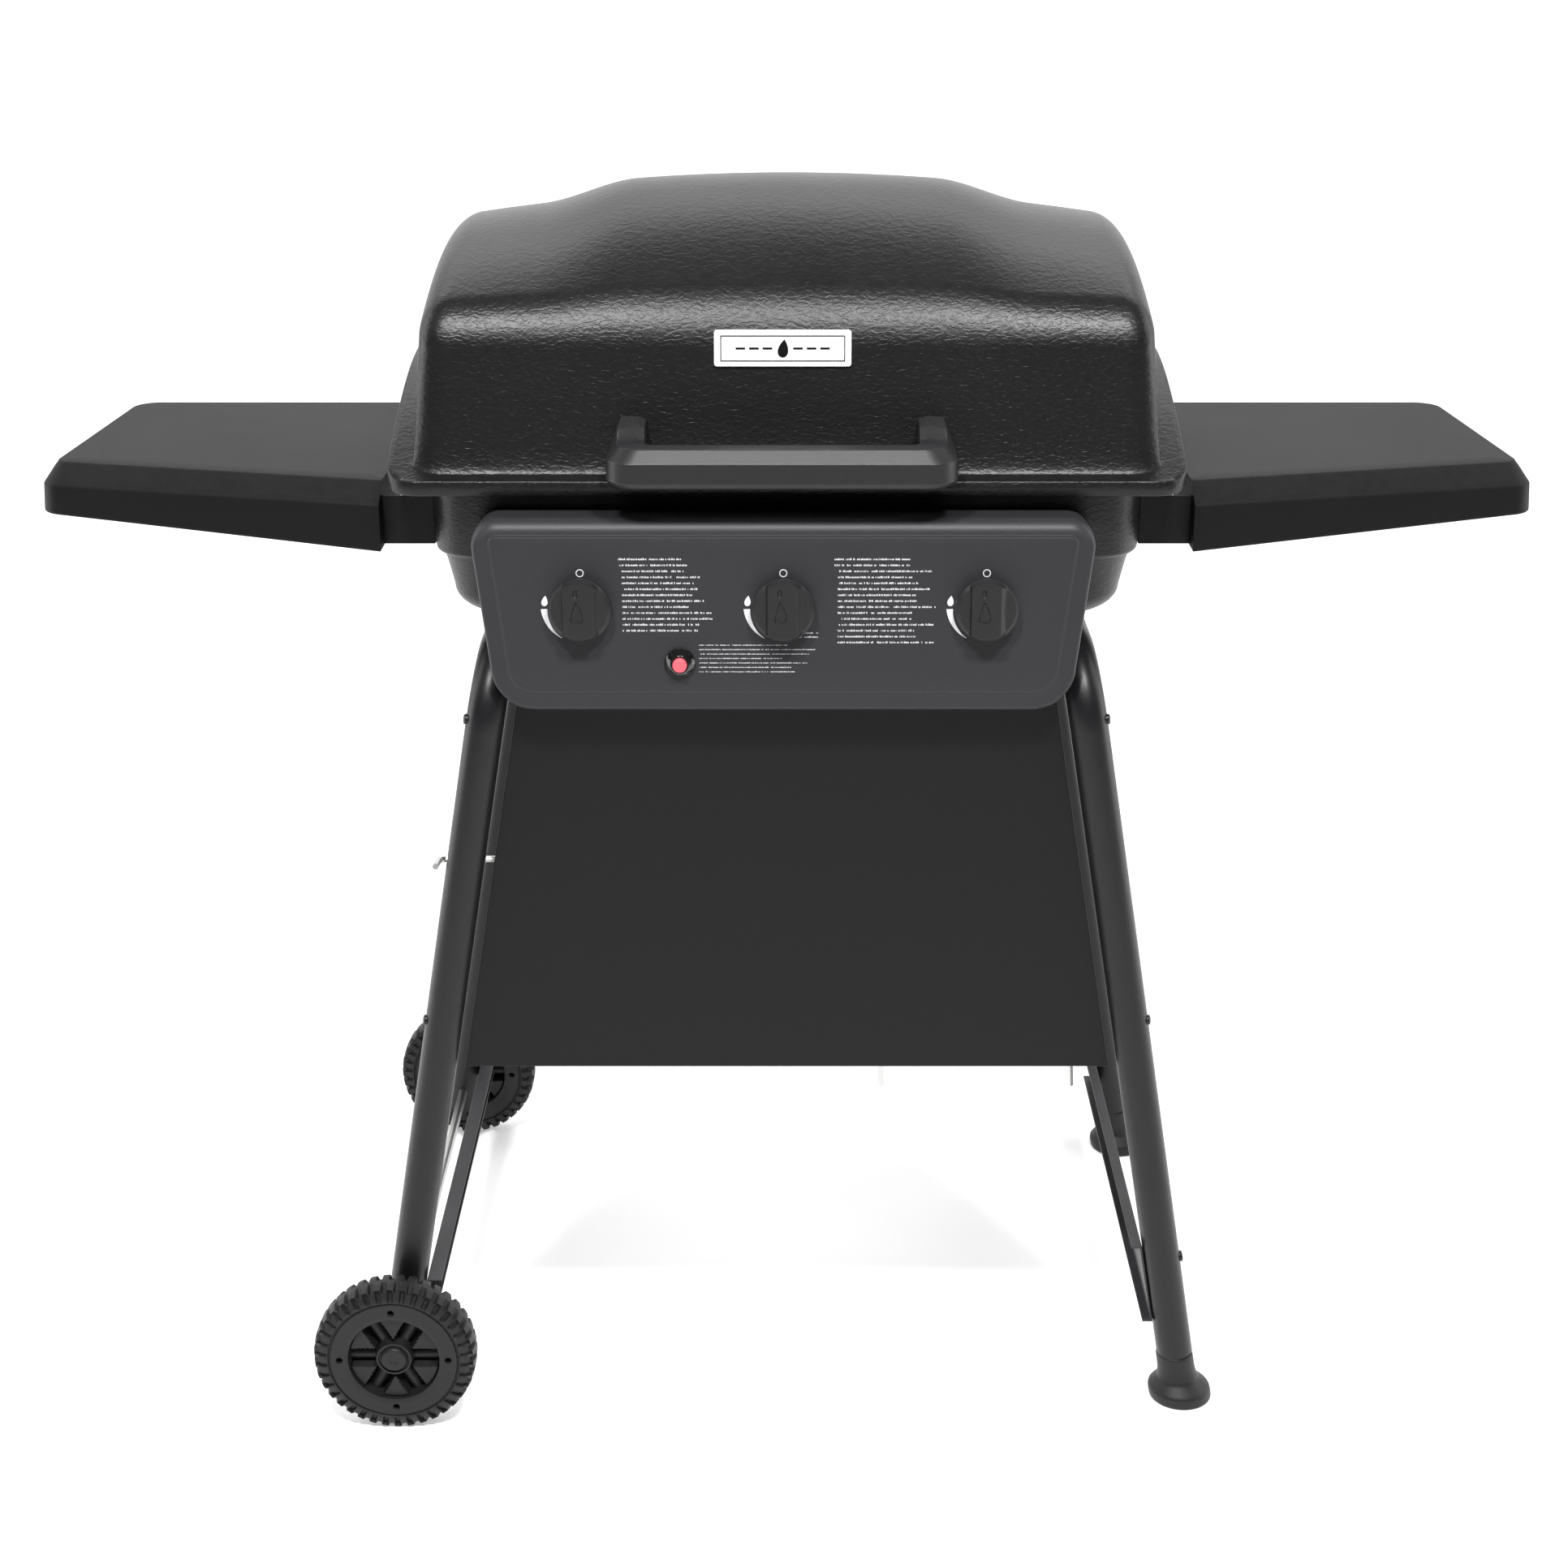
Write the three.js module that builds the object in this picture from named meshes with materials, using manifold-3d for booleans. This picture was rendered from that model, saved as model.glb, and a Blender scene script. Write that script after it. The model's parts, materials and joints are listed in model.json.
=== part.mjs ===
// Three-burner gas barbecue grill on a tube cart: two leaning leg frames, a cast firebox
// and lid, fixed side shelves, a control panel with three knobs, and what works inside.
// Millimetres. X runs to the right, Y to the back, Z up. The origin is on the ground below
// the middle of the cart.
import * as THREE from 'three';
import { mergeVertices } from 'three/addons/utils/BufferGeometryUtils.js';
import Module from 'manifold-3d';

const wasm = await Module();
wasm.setup();

// ---------------------------------------------------------------- driving dimensions
const gap = 0.3;                 // between pieces that touch
const runGap = 0.5;              // round a pin or a shaft that turns or slides
const beyond = 400;              // a cutting solid reaches this far past what it cuts

// Cart frame
const wheelRadius = 76.2;
const wheelWidth = 34;
const hubBossLength = 8;         // inner hub boss, towards the leg
const hubClear = 1;              // between the boss and the leg
const hubRadius = 17;
const spokeWidth = 11;
const rimInnerRadius = 43;
const capRadius = 12;
const capDepth = 3;
const tyreShoulder = 5;
const spokeHalfDepth = 9;
const wheelSpokes = 6;
const axleSetBack = 1.5;         // of the axle's end behind its cap
const axleRadius = 5;
const legXAtAxle = 368.5;
const legLean = 0.1715;          // sideways run of a leg for each millimetre it rises
const legY = 248;
const legRadius = 17;
const legWall = 1.6;
const legBendRadius = 60;
const legRunZ = 742;             // centre of the level run under the firebox
const legLeftEndZ = 52;          // foot of the tube that the axle passes through
const wheelMidY = legY + legRadius + hubClear + hubBossLength + wheelWidth / 2;
const footHeight = 48;
const footRadius = 30;
const footPadHeight = 9;
const footPlugLength = 26;
const footPlugPlay = 2;
const footFlareRise = 10;
const footFlareOut = 3.5;        // beyond the tube at the top of the flare

// Firebox
const fireboxWall = 3;
const fireboxHalfX = 311;
const fireboxFrontY = -200;
const fireboxRearY = 203;
const fireboxFloorHalfX = fireboxHalfX - 45;
const fireboxFloorZ = legRunZ + legRadius + gap;
const fireboxFloorHalfY = 152;
const ledgeZ = fireboxFloorZ + 60.7;
const ledgeWidth = 9;
const lugHalf = 8;               // rests cast inside the walls for the grates
const lugDepth = 15;
const lugHeight = 10;
const lugX = [-250, -50, 50, 250];
const rimFlangeReach = fireboxHalfX + 27;
const rimFlangeFrontY = fireboxFrontY - 15;
const rimFlangeRearY = fireboxRearY + 10;
const rimFlangeThickness = 4;

// Parting line of firebox and lid: low at the front, rising to the back along the sides
const partingFrontZ = fireboxFloorZ + 133.7;
const partingRise = 70;
const partingStartY = rimFlangeFrontY;
const partingRun = 255;

// Lid
const lidWall = 3;
const lidHalfX = fireboxHalfX + 11.5;
const lidFrontY = fireboxFrontY - 5;
const lidRearY = fireboxRearY + 5;
const lidFlangeHalfX = lidHalfX + 22.5;
const lidFlangeFrontY = lidFrontY - 17;
const lidFlangeRearY = lidRearY + 14;
const lidFlangeThickness = 4;
const lidLipDepth = 9;
const lidLipWall = 3.3;
const lidCornerRadius = 28;
const lidTopZ = partingFrontZ + 230;
const lidTopY = 32;
const lidTopCurve = 0.00185;     // fall of the top for each square millimetre from its ridge
const wallSteepness = 6.9;       // rise of the front and rear walls for each millimetre inwards
const sideSteepness = 18;
const crownHalfX = 137;
const crownEase = 91;            // width over which the raised middle falls to the sides
const crownFall = 15;
const crownBow = 0.00027;
const crownFade = 0.8;            // share of the fall that is gone at the front and rear bends
const crownFadeRun = 200;
const shoulderDrop = 32;          // height over which a wall rounds into the top
const shoulderReach = 28.5;       // and its run
const cornerPower = 2.6;          // 2 is a round corner, more is squarer

// Hinge of the lid and the linkage of the warming rack
const hingeY = lidFlangeRearY + 10;
const hingeZ = partingFrontZ + partingRise + 2;
const hingeX = 200;
const hingePinRadius = 4;
const hingeEarWidth = 3;
const hingeLugWidth = 24;
const lidNotchHalf = 24;
const hingePlateHalf = 18;
const hingePlateSheet = 3;
const hingePlateBottomZ = hingeZ - 49;
const hingeBarrelRadius = 8;
const hingeArmReach = 40;        // height to which the lug runs up the lid
const rackPivotY = 140;          // on the lid
const rackPivotZ = partingFrontZ + 107;
const bailPivotY = 150;          // on the firebox
const bailPivotZ = partingFrontZ + 22;
const rackHalfX = fireboxHalfX - 49;
const rackRodRadius = 3;
const rackPlateX = rackHalfX + 10;
const rackPinRadius = 3;
const rackTrayDrop = 16;         // of the tray below the rack's pivot
const rackBars = 8;
const rackBarHalf = 1.8;
const rackOverhang = 22;         // of the tray behind the pivot
const rackFrontOverhang = 14;

// Control panel
const panelX = -3;
const panelY = -263;             // face of the panel at the knob axes
const panelZ = legRunZ + 55.5;
const panelLean = 0.0742;        // radians, the face looks slightly up
const panelHalfTop = 268;
const panelHalfBottom = 247;
const panelTop = 75;
const panelBottom = -91;
const panelCorner = 38;
const panelShoulder = 22;
const panelRim = 14;             // depth of the rim all round
const panelDepth = 55;           // depth of the box above the legs
const panelBoxBottom = -25;
const panelSheet = 1.2;
const panelFieldInset = 15;      // border round the raised field
const panelFieldRise = 3;
const knobPitch = 172.7;
const knobRadius = 27;
const knobDepth = 13;
const knobStandOff = 6;          // clear of the face, for the push
const knobPush = 4;
const stemRadius = 4;
const stemLength = 34;
const valveRadius = 9;
const valveLength = 40;
const igniterX = -88.5;
const igniterZ = -48.5;
const igniterBezel = 13.5;
const igniterBody = 10.5;
const igniterBodyLength = 45;
const buttonRadius = 6.3;
const buttonPush = 4;
const bezelDepth = 7;
const buttonPocket = 22;
const gripHalf = 14;
const skirtSetBack = 5.5;        // of the knob's round skirt behind its grip
const electrodeX = -48;
const electrodeRise = 4;         // above the burners' axes
const electrodeRadius = 4;
const electrodeFrontY = -214;
const electrodeRearY = -150;
const leadRadius = 1.4;

// Burners, gas and cooking surfaces
const burnerRadius = 12.5;
const burnerWall = 1;
const burnerRearY = 150;
const burnerFrontY = -206;
const manifoldRadius = 8;
const manifoldY = -226;
const manifoldDrop = 25;
const inletX = 246;
const inletNutRadius = 11;
const inletNutLength = 14;
const inletBore = 4.5;
const manifoldOverrun = 28;      // past the left valve
const carryoverY = 100;
const carryoverRadius = 3.5;
const tentHalf = 44;
const tentRise = 30;
const grateZ = partingFrontZ - 21;
const grateThickness = 8;
const grateBars = 8;
const grateBarWidth = 6;
const grateBorder = 9;
const grateCorner = 34;
const grateInnerX = 2;

// Shelves
const shelfTopZ = partingFrontZ - 13;
const shelfInnerX = lidFlangeHalfX + 13;
const shelfLength = 309;
const shelfOuterX = shelfInnerX + shelfLength;
const shelfRearY = 183;
const creaseInnerY = -148;
const creaseOuterY = -75;
const chamferReach = 25;
const chamferDrop = 17;
const shelfInnerDrop = 58;       // depth of the front apron at the grill
const shelfOuterDrop = 42;       // depth of the rim at the far end
const shelfSideDrop = 36;
const apronEndY = -60;           // behind here the edge is shallow all round
const shelfWall = 3;
const shelfCorner = 24;
const shelfFrontCorner = 13;
const shelfTaper = 15;            // inward run of the outer edge from front to rear
const shelfFlare = 9;             // outward run of the front chamfer's lower edge
const bracketHeight = 44;
const bracketReach = shelfInnerX + 34;
const bracketY = 150;
const bracketSheet = 2;

// Front panel, braces and small parts of the cart
const frontPanelY = -240;
const frontPanelBottomZ = 349;
const frontPanelTopZ = legRunZ - 10;
const frontPanelHalfBottom = 297;
const frontPanelDepth = 12;
const frontPanelSheet = 1;
const braceSheet = 2;
const braceOverhang = 6;         // past the legs' centres at both ends
const braces = {
  left: { bottom: 92, top: 130, fold: 14 },
  right: { bottom: 84, top: 166, fold: 10 },
};
const crossbarZ = legRunZ - 182;
const crossbarHeight = 40;
const crossbarDepth = 10;
const guardRadius = 3;
const guardZ = legRunZ - 194;
const guardClear = 5;            // behind the front panel
const guardWeld = 0.5;
const guardDropX = 88;
const guardDropInset = 2.6;      // of the second drop from the bar's end
const guardDropLean = 14;
const cupRadius = 38;
const cupHeight = 66;
const cupTopZ = fireboxFloorZ - 11.3;
const drainRadius = 18;
const cupSheet = 0.8;
const cupLip = 3;
const clipRing = 4;
const clipHalf = 8;

// Handle and badge
const handleX = -4;
const handleHalf = 148;
const handleArm = 32;
const handleFrontY = lidFrontY - 76;
const handleBackY = handleFrontY + 33;
const handleBottomZ = partingFrontZ + 11;
const handleTopZ = handleBottomZ + 32;
const handleArmTopZ = handleBottomZ + 44;
const badgeX = -3.5;
const badgeWidth = 117;
const badgeHeight = 31;
const badgeThickness = 2;
const badgeZ = partingFrontZ + 112;
const badgeCorner = 2.5;

// ---------------------------------------------------------------- worked-out places
const axleZ = wheelRadius;
const legX = (z) => legXAtAxle + (axleZ - z) * legLean;
const bracketTop = shelfTopZ - shelfWall - 10;
const burnerDrop = Math.sin(panelLean) * (burnerFrontY - panelY);
const burnerZ = panelZ - burnerDrop;
const electrodeZ = burnerZ + electrodeRise;
const faceY = -panelFieldRise;   // outer face of the raised field, in the panel's frame
const lidBaseZ = partingFrontZ + lidFlangeThickness;
const lidSideX = (z) => lidHalfX - (z - lidBaseZ) / sideSteepness;
const knobX = [-knobPitch, 0, knobPitch].map((x) => panelX + x);
const partingZ = (y) => {
  const t = Math.min(Math.max((y - partingStartY) / partingRun, 0), 1);
  return partingFrontZ + partingRise * Math.sin((Math.PI / 2) * t);
};
const sideNames = [['left', -1], ['right', 1]];

// ---------------------------------------------------------------- materials
const finish = (color, roughness, metalness) =>
  () => new THREE.MeshStandardMaterial({ color, roughness, metalness });
const castBlack = finish(0x1f1f20, 0.45, 0.2);
const sheetBlack = finish(0x1c1b1d, 0.5, 0.2);
const tubeBlack = finish(0x222124, 0.42, 0.2);
const mouldedBlack = finish(0x191a1b, 0.6, 0);
const handleGrey = finish(0x2c2c2e, 0.5, 0);
const brightSteel = finish(0xb4b4b2, 0.3, 1);
const burnerSteel = finish(0x8c8a86, 0.45, 1);
const brass = finish(0xa98c4e, 0.35, 1);
const enamelBlack = finish(0x121213, 0.3, 0.1);
const glossBlack = finish(0x0b0b0c, 0.12, 0);
const buttonRed = finish(0xc23a44, 0.35, 0);
const brushedAluminium = finish(0xc8c9ca, 0.35, 1);
const ceramicWhite = finish(0xe8e4da, 0.4, 0);

// ---------------------------------------------------------------- solids from geometries
function toSolid(geometry) {
  const bare = geometry.clone();
  bare.deleteAttribute('normal');
  bare.deleteAttribute('uv');
  const merged = mergeVertices(bare, 1e-4);
  const index = [...merged.index.array];
  const triangles = [];
  for (let i = 0; i < index.length; i += 3) {
    const [a, b, c] = index.slice(i, i + 3);
    if (a !== b && b !== c && c !== a) triangles.push(a, b, c);
  }
  return new wasm.Manifold(new wasm.Mesh({
    numProp: 3,
    vertProperties: new Float32Array(merged.attributes.position.array),
    triVerts: new Uint32Array(triangles),
  }));
}

function toGeometry(solid) {
  const mesh = solid.getMesh();
  const geometry = new THREE.BufferGeometry();
  geometry.setAttribute('position', new THREE.BufferAttribute(mesh.vertProperties, 3));
  geometry.setIndex(new THREE.BufferAttribute(mesh.triVerts, 1));
  geometry.computeVertexNormals();
  return geometry;
}

const join = (...solids) => solids.reduce((all, next) => all.add(next));
const cut = (body, ...tools) => tools.reduce((left, tool) => left.subtract(tool), body);

// A box between two corners.
function box(x0, x1, y0, y1, z0, z1) {
  const geometry = new THREE.BoxGeometry(x1 - x0, y1 - y0, z1 - z0);
  geometry.translate((x0 + x1) / 2, (y0 + y1) / 2, (z0 + z1) / 2);
  return toSolid(geometry);
}

// A round bar from one point to another.
function rod(from, to, radius, sides = 12) {
  const start = new THREE.Vector3(...from);
  const along = new THREE.Vector3(...to).sub(start);
  const geometry = new THREE.CylinderGeometry(radius, radius, along.length(), sides);
  geometry.translate(0, along.length() / 2, 0);
  const turn = new THREE.Quaternion().setFromUnitVectors(
    new THREE.Vector3(0, 1, 0), along.clone().normalize());
  geometry.applyQuaternion(turn);
  geometry.translate(...from);
  return toSolid(geometry);
}

// An outline in X and Y carried up from z0 to z1.
function prism(points, z0, z1) {
  const shape = new THREE.Shape(points.map(([x, y]) => new THREE.Vector2(x, y)));
  const geometry = new THREE.ExtrudeGeometry(shape, { depth: z1 - z0, bevelEnabled: false });
  geometry.translate(0, 0, z0);
  return toSolid(geometry);
}

// An outline in Y and Z carried along X.
function prismX(points, x0, x1) {
  const shape = new THREE.Shape(points.map(([y, z]) => new THREE.Vector2(y, z)));
  const geometry = new THREE.ExtrudeGeometry(shape, { depth: x1 - x0, bevelEnabled: false });
  geometry.applyMatrix4(new THREE.Matrix4().makeBasis(
    new THREE.Vector3(0, 1, 0), new THREE.Vector3(0, 0, 1), new THREE.Vector3(1, 0, 0)));
  geometry.translate(x0, 0, 0);
  return toSolid(geometry);
}

// An outline in X and Z carried along Y.
function prismY(points, y0, y1) {
  const shape = new THREE.Shape(points.map(([x, z]) => new THREE.Vector2(x, z)));
  const geometry = new THREE.ExtrudeGeometry(shape, { depth: y1 - y0, bevelEnabled: false });
  geometry.applyMatrix4(new THREE.Matrix4().makeRotationX(Math.PI / 2));
  geometry.translate(0, y1, 0);
  return toSolid(geometry);
}

// A profile of [radius, height] turned about the Z axis.
function turned(profile, segments = 32) {
  const points = profile.map(([r, z]) => new THREE.Vector2(r, z));
  const geometry = new THREE.LatheGeometry(points, segments);
  geometry.rotateX(Math.PI / 2);
  return toSolid(geometry);
}

// A rounded rectangle as a list of points, anticlockwise from above.
function roundedRectangle(x0, x1, y0, y1, radius, steps = 5) {
  const points = [];
  const corners = [[x1, y1, 0], [x0, y1, 1], [x0, y0, 2], [x1, y0, 3]];
  for (const [x, y, quarter] of corners) {
    const cx = x === x1 ? x1 - radius : x0 + radius;
    const cy = y === y1 ? y1 - radius : y0 + radius;
    for (let i = 0; i <= steps; i += 1) {
      const angle = (quarter + i / steps) * (Math.PI / 2);
      points.push([cx + radius * Math.cos(angle), cy + radius * Math.sin(angle)]);
    }
  }
  return points;
}

// A closed solid from a stack of outlines with equal numbers of points.
function loft(rings) {
  const count = rings[0].length;
  const positions = rings.flat().flat();
  const index = [];
  for (let ring = 0; ring + 1 < rings.length; ring += 1) {
    for (let i = 0; i < count; i += 1) {
      const a = ring * count + i;
      const b = ring * count + ((i + 1) % count);
      index.push(a, b, b + count, a, b + count, a + count);
    }
  }
  const last = (rings.length - 1) * count;
  for (let i = 1; i + 1 < count; i += 1) {
    index.push(0, i + 1, i);
    index.push(last, last + i, last + i + 1);
  }
  const geometry = new THREE.BufferGeometry();
  geometry.setAttribute('position', new THREE.Float32BufferAttribute(positions, 3));
  geometry.setIndex(index);
  return toSolid(geometry);
}

// A round bar bent along a smooth or cornered path.
function bentRod(points, radius, sides = 8, steps = 24, bend = 0) {
  const path = bend > 0 ? filletedPath(points, bend) : new THREE.CatmullRomCurve3(
    points.map((p) => new THREE.Vector3(...p)));
  const circle = new THREE.Shape();
  circle.absarc(0, 0, radius, 0, 2 * Math.PI);
  const outline = new THREE.Shape(circle.getPoints(sides / 2).slice(0, -1));
  const count = bend > 0 ? path.userSteps : steps;
  return toSolid(new THREE.ExtrudeGeometry(outline,
    { steps: count, extrudePath: path, curveSegments: sides, bevelEnabled: false }));
}

// Straight runs joined by arcs: a curve through the points, each corner rounded to one radius.
function filletedPath(points, radius, arcSteps = 5) {
  const corners = points.map((p) => new THREE.Vector3(...p));
  const stations = [corners[0]];
  for (let i = 1; i + 1 < corners.length; i += 1) {
    const back = corners[i - 1].clone().sub(corners[i]).normalize();
    const on = corners[i + 1].clone().sub(corners[i]).normalize();
    const half = back.angleTo(on) / 2;
    const start = corners[i].clone().addScaledVector(back, radius / Math.tan(half));
    const end = corners[i].clone().addScaledVector(on, radius / Math.tan(half));
    const middle = back.clone().add(on).normalize();
    const centre = corners[i].clone().addScaledVector(middle, radius / Math.sin(half));
    const from = start.clone().sub(centre);
    const to = end.clone().sub(centre);
    const sweep = from.angleTo(to);
    for (let s = 0; s <= arcSteps; s += 1) {
      const t = s / arcSteps;
      const spoke = from.clone().multiplyScalar(Math.sin((1 - t) * sweep))
        .addScaledVector(to, Math.sin(t * sweep)).divideScalar(Math.sin(sweep));
      stations.push(centre.clone().add(spoke));
    }
  }
  stations.push(corners[corners.length - 1]);
  const path = new THREE.Curve();
  path.userSteps = stations.length - 1;
  path.getPoint = (t, target = new THREE.Vector3()) =>
    target.copy(stations[Math.round(t * path.userSteps)]);
  path.getPointAt = path.getPoint;
  path.getTangentAt = (t, target = new THREE.Vector3()) => {
    const i = Math.round(t * path.userSteps);
    const before = stations[Math.max(i - 1, 0)].clone().sub(stations[i]).normalize();
    const after = stations[Math.min(i + 1, path.userSteps)].clone().sub(stations[i]).normalize();
    return target.copy(after).sub(before).normalize();
  };
  path.getTangent = path.getTangentAt;
  return path;
}

// ---------------------------------------------------------------- the scene graph
const grill = new THREE.Group();
const panelFrame = new THREE.Group();
panelFrame.position.set(panelX, panelY, panelZ);
panelFrame.rotation.x = -panelLean;
grill.add(panelFrame);

function add(name, solid, makeMaterial, parent = grill) {
  const mesh = new THREE.Mesh(toGeometry(solid), makeMaterial());
  mesh.name = name;
  parent.add(mesh);
  return mesh;
}

// ---------------------------------------------------------------- leg frames and what they carry
// A leg frame lies in one leaning plane: up the front leg, back under the firebox, down again.
function legFrame(side, endZ) {
  const at = (y, z) => [side * legX(z), y, z];
  const centres = [at(-legY, endZ), at(-legY, legRunZ), at(legY, legRunZ), at(legY, endZ)];
  const outer = bentRod(centres, legRadius, 12, 0, legBendRadius);
  const longer = [at(-legY, endZ - legRadius), at(-legY, legRunZ), at(legY, legRunZ),
    at(legY, endZ - legRadius)];
  const inner = bentRod(longer, legRadius - legWall, 8, 0, legBendRadius);
  return cut(outer, inner);
}

function axleRod(radius) {
  const reach = wheelMidY + wheelWidth / 2 - capDepth - axleSetBack;
  return rod([-legXAtAxle, -reach, axleZ], [-legXAtAxle, reach, axleZ], radius);
}

function addCart() {
  add('leg_frame_left', cut(legFrame(-1, legLeftEndZ), axleRod(axleRadius + runGap)), tubeBlack);
  const levelEnd = box(0, 2 * beyond, -beyond, beyond, 0, footHeight + gap);
  add('leg_frame_right', cut(legFrame(1, footHeight - legRadius), levelEnd), tubeBlack);
  add('axle', axleRod(axleRadius), brightSteel);
  for (const [name, end] of [['front', -1], ['rear', 1]]) {
    add(`foot_${name}`, foot().translate([0, end * legY, 0]), mouldedBlack);
  }
  for (const [name, side] of sideNames) {
    add(`side_brace_${name}`, sideBrace(side, braces[name]), sheetBlack);
  }
  add('rear_crossbar', crossbar(), sheetBlack);
  add('front_panel', frontPanel(), sheetBlack);
  add('tank_guard', tankGuard(), brightSteel);
}

// A channel across the back, open to the front, on the front faces of the rear legs.
function crossbar() {
  const reach = legX(crossbarZ) - 1;
  const face = legY - legRadius - gap;
  const half = crossbarHeight / 2;
  const channel = box(-reach, reach, face - crossbarDepth, face, crossbarZ - half, crossbarZ + half);
  const hollow = box(-beyond, beyond, face - crossbarDepth - 1, face - braceSheet,
    crossbarZ - half + braceSheet, crossbarZ + half - braceSheet);
  return cut(channel, hollow);
}

// A moulded foot: level rings that follow the leaning leg, with a plug inside the tube.
function foot() {
  const plugRadius = legRadius - legWall - footPlugPlay;
  const profile = [
    [0, 0], [footRadius, 0], [footRadius, footPadHeight],
    [legRadius + footFlareOut, footPadHeight + footFlareRise],
    [legRadius, footPadHeight + 2 * footFlareRise], [legRadius, footHeight],
    [plugRadius, footHeight], [plugRadius, footHeight + footPlugLength],
    [0, footHeight + footPlugLength],
  ];
  const matrix = [1, 0, 0, 0, 0, 1, 0, 0, -legLean, 0, 1, 0, legX(0), 0, 0, 1];
  return turned(profile, 18).transform(matrix);
}

// A folded sheet along the inside of two legs. The right one is wide, the left one a channel.
function sideBrace(side, { bottom, top, fold }) {
  const face = (z) => side * (legX(z) - legRadius / Math.cos(Math.atan(legLean)) - gap);
  const outline = [
    [face(bottom), bottom], [face(top), top],
    [face(top) - side * fold, top], [face(top) - side * fold, top - braceSheet],
    [face(top) - side * braceSheet, top - braceSheet],
    [face(bottom) - side * braceSheet, bottom + braceSheet],
    [face(bottom) - side * fold, bottom + braceSheet], [face(bottom) - side * fold, bottom],
  ];
  return prismY(outline, -legY - braceOverhang, legY + braceOverhang);
}

function frontPanel() {
  const half = (z) => frontPanelHalfBottom - (z - frontPanelBottomZ) * legLean;
  const outline = (inset, z0, z1) => [
    [-(half(z0) - inset), z0], [half(z0) - inset, z0],
    [half(z1) - inset, z1], [-(half(z1) - inset), z1]];
  const sheet = frontPanelSheet;
  return cut(
    prismY(outline(0, frontPanelBottomZ, frontPanelTopZ), frontPanelY, frontPanelY + frontPanelDepth),
    prismY(outline(sheet, frontPanelBottomZ + sheet, frontPanelTopZ - sheet),
      frontPanelY + sheet, frontPanelY + frontPanelDepth + 1));
}

// A welded wire guard behind the front panel, hooked round the left front leg.
function tankGuard() {
  const y = frontPanelY + frontPanelDepth + guardRadius + guardClear;
  const outside = -legX(guardZ) - legRadius - 9;
  const inside = legX(guardZ) - legRadius - 16;
  const bar = bentRod([[outside, -legY, guardZ + 4], [outside, y, guardZ], [inside, y, guardZ],
    [inside, y, guardZ - 30]], guardRadius, 6, 0, 7);
  const dropY = y + 2 * guardRadius - guardWeld;
  const drop = (x, lean) => rod([x, dropY, guardZ + 2 * guardRadius],
    [x + lean, dropY, frontPanelBottomZ - 32], guardRadius, 6);
  return join(bar, drop(guardDropX, 0), drop(inside - guardDropInset, guardDropLean));
}

// ---------------------------------------------------------------- wheels
function wheel() {
  const face = wheelWidth / 2;
  const rimFace = face - tyreShoulder;
  const half = [[rimInnerRadius, rimFace], [rimInnerRadius + 5, face - 2],
    [wheelRadius - tyreShoulder, face], [wheelRadius, rimFace]];
  const other = half.map(([r, z]) => [r, -z]);
  const tyre = turned([...other, ...half.slice().reverse(), other[0]], 32);
  const bore = axleRadius + runGap;
  const pocket = face - capDepth;
  const hub = turned([
    [bore, -face - hubBossLength], [hubRadius - 2, -face - hubBossLength],
    [hubRadius, pocket], [bore, pocket], [bore, -face - hubBossLength]], 16);
  const spoke = box(hubRadius - 4, rimInnerRadius + 2, -spokeWidth / 2, spokeWidth / 2,
    -spokeHalfDepth, spokeHalfDepth);
  const spokes = Array.from({ length: wheelSpokes },
    (_, i) => spoke.rotate([0, 0, (360 / wheelSpokes) * i]));
  return join(tyre, hub, ...spokes);
}

// A cap that hides the axle's end and clips to the hub.
function axleCap() {
  const base = wheelWidth / 2 - capDepth + gap;
  const face = wheelWidth / 2;
  return turned([[0, base], [capRadius, base], [capRadius - 1.5, face], [0, face]], 16);
}

function addWheels() {
  for (const [name, end] of [['front', -1], ['rear', 1]]) {
    const group = new THREE.Group();
    group.position.set(-legXAtAxle, end * wheelMidY, axleZ);
    group.rotation.x = -end * Math.PI / 2;
    grill.add(group);
    add(`wheel_${name}`, wheel(), mouldedBlack, group);
    add(`axle_cap_${name}`, axleCap(), mouldedBlack, group);
  }
}

// ---------------------------------------------------------------- firebox
// The space on one side of the parting line, moved up by a lift.
function pastParting(lift, up) {
  const steps = 7;
  const points = [];
  for (let i = 0; i <= steps; i += 1) {
    const y = partingStartY + (partingRun * i) / steps;
    points.push([y, partingZ(y) + lift]);
  }
  points.unshift([-beyond, partingZ(-beyond) + lift]);
  points.push([beyond, partingZ(beyond) + lift]);
  const far = up ? partingFrontZ + beyond : partingFrontZ - beyond;
  points.push([beyond, far], [-beyond, far]);
  return prismX(up ? points : points.reverse(), -beyond, beyond);
}

const partingBand = (low, high) => cut(pastParting(low, true), pastParting(high, true));

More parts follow.
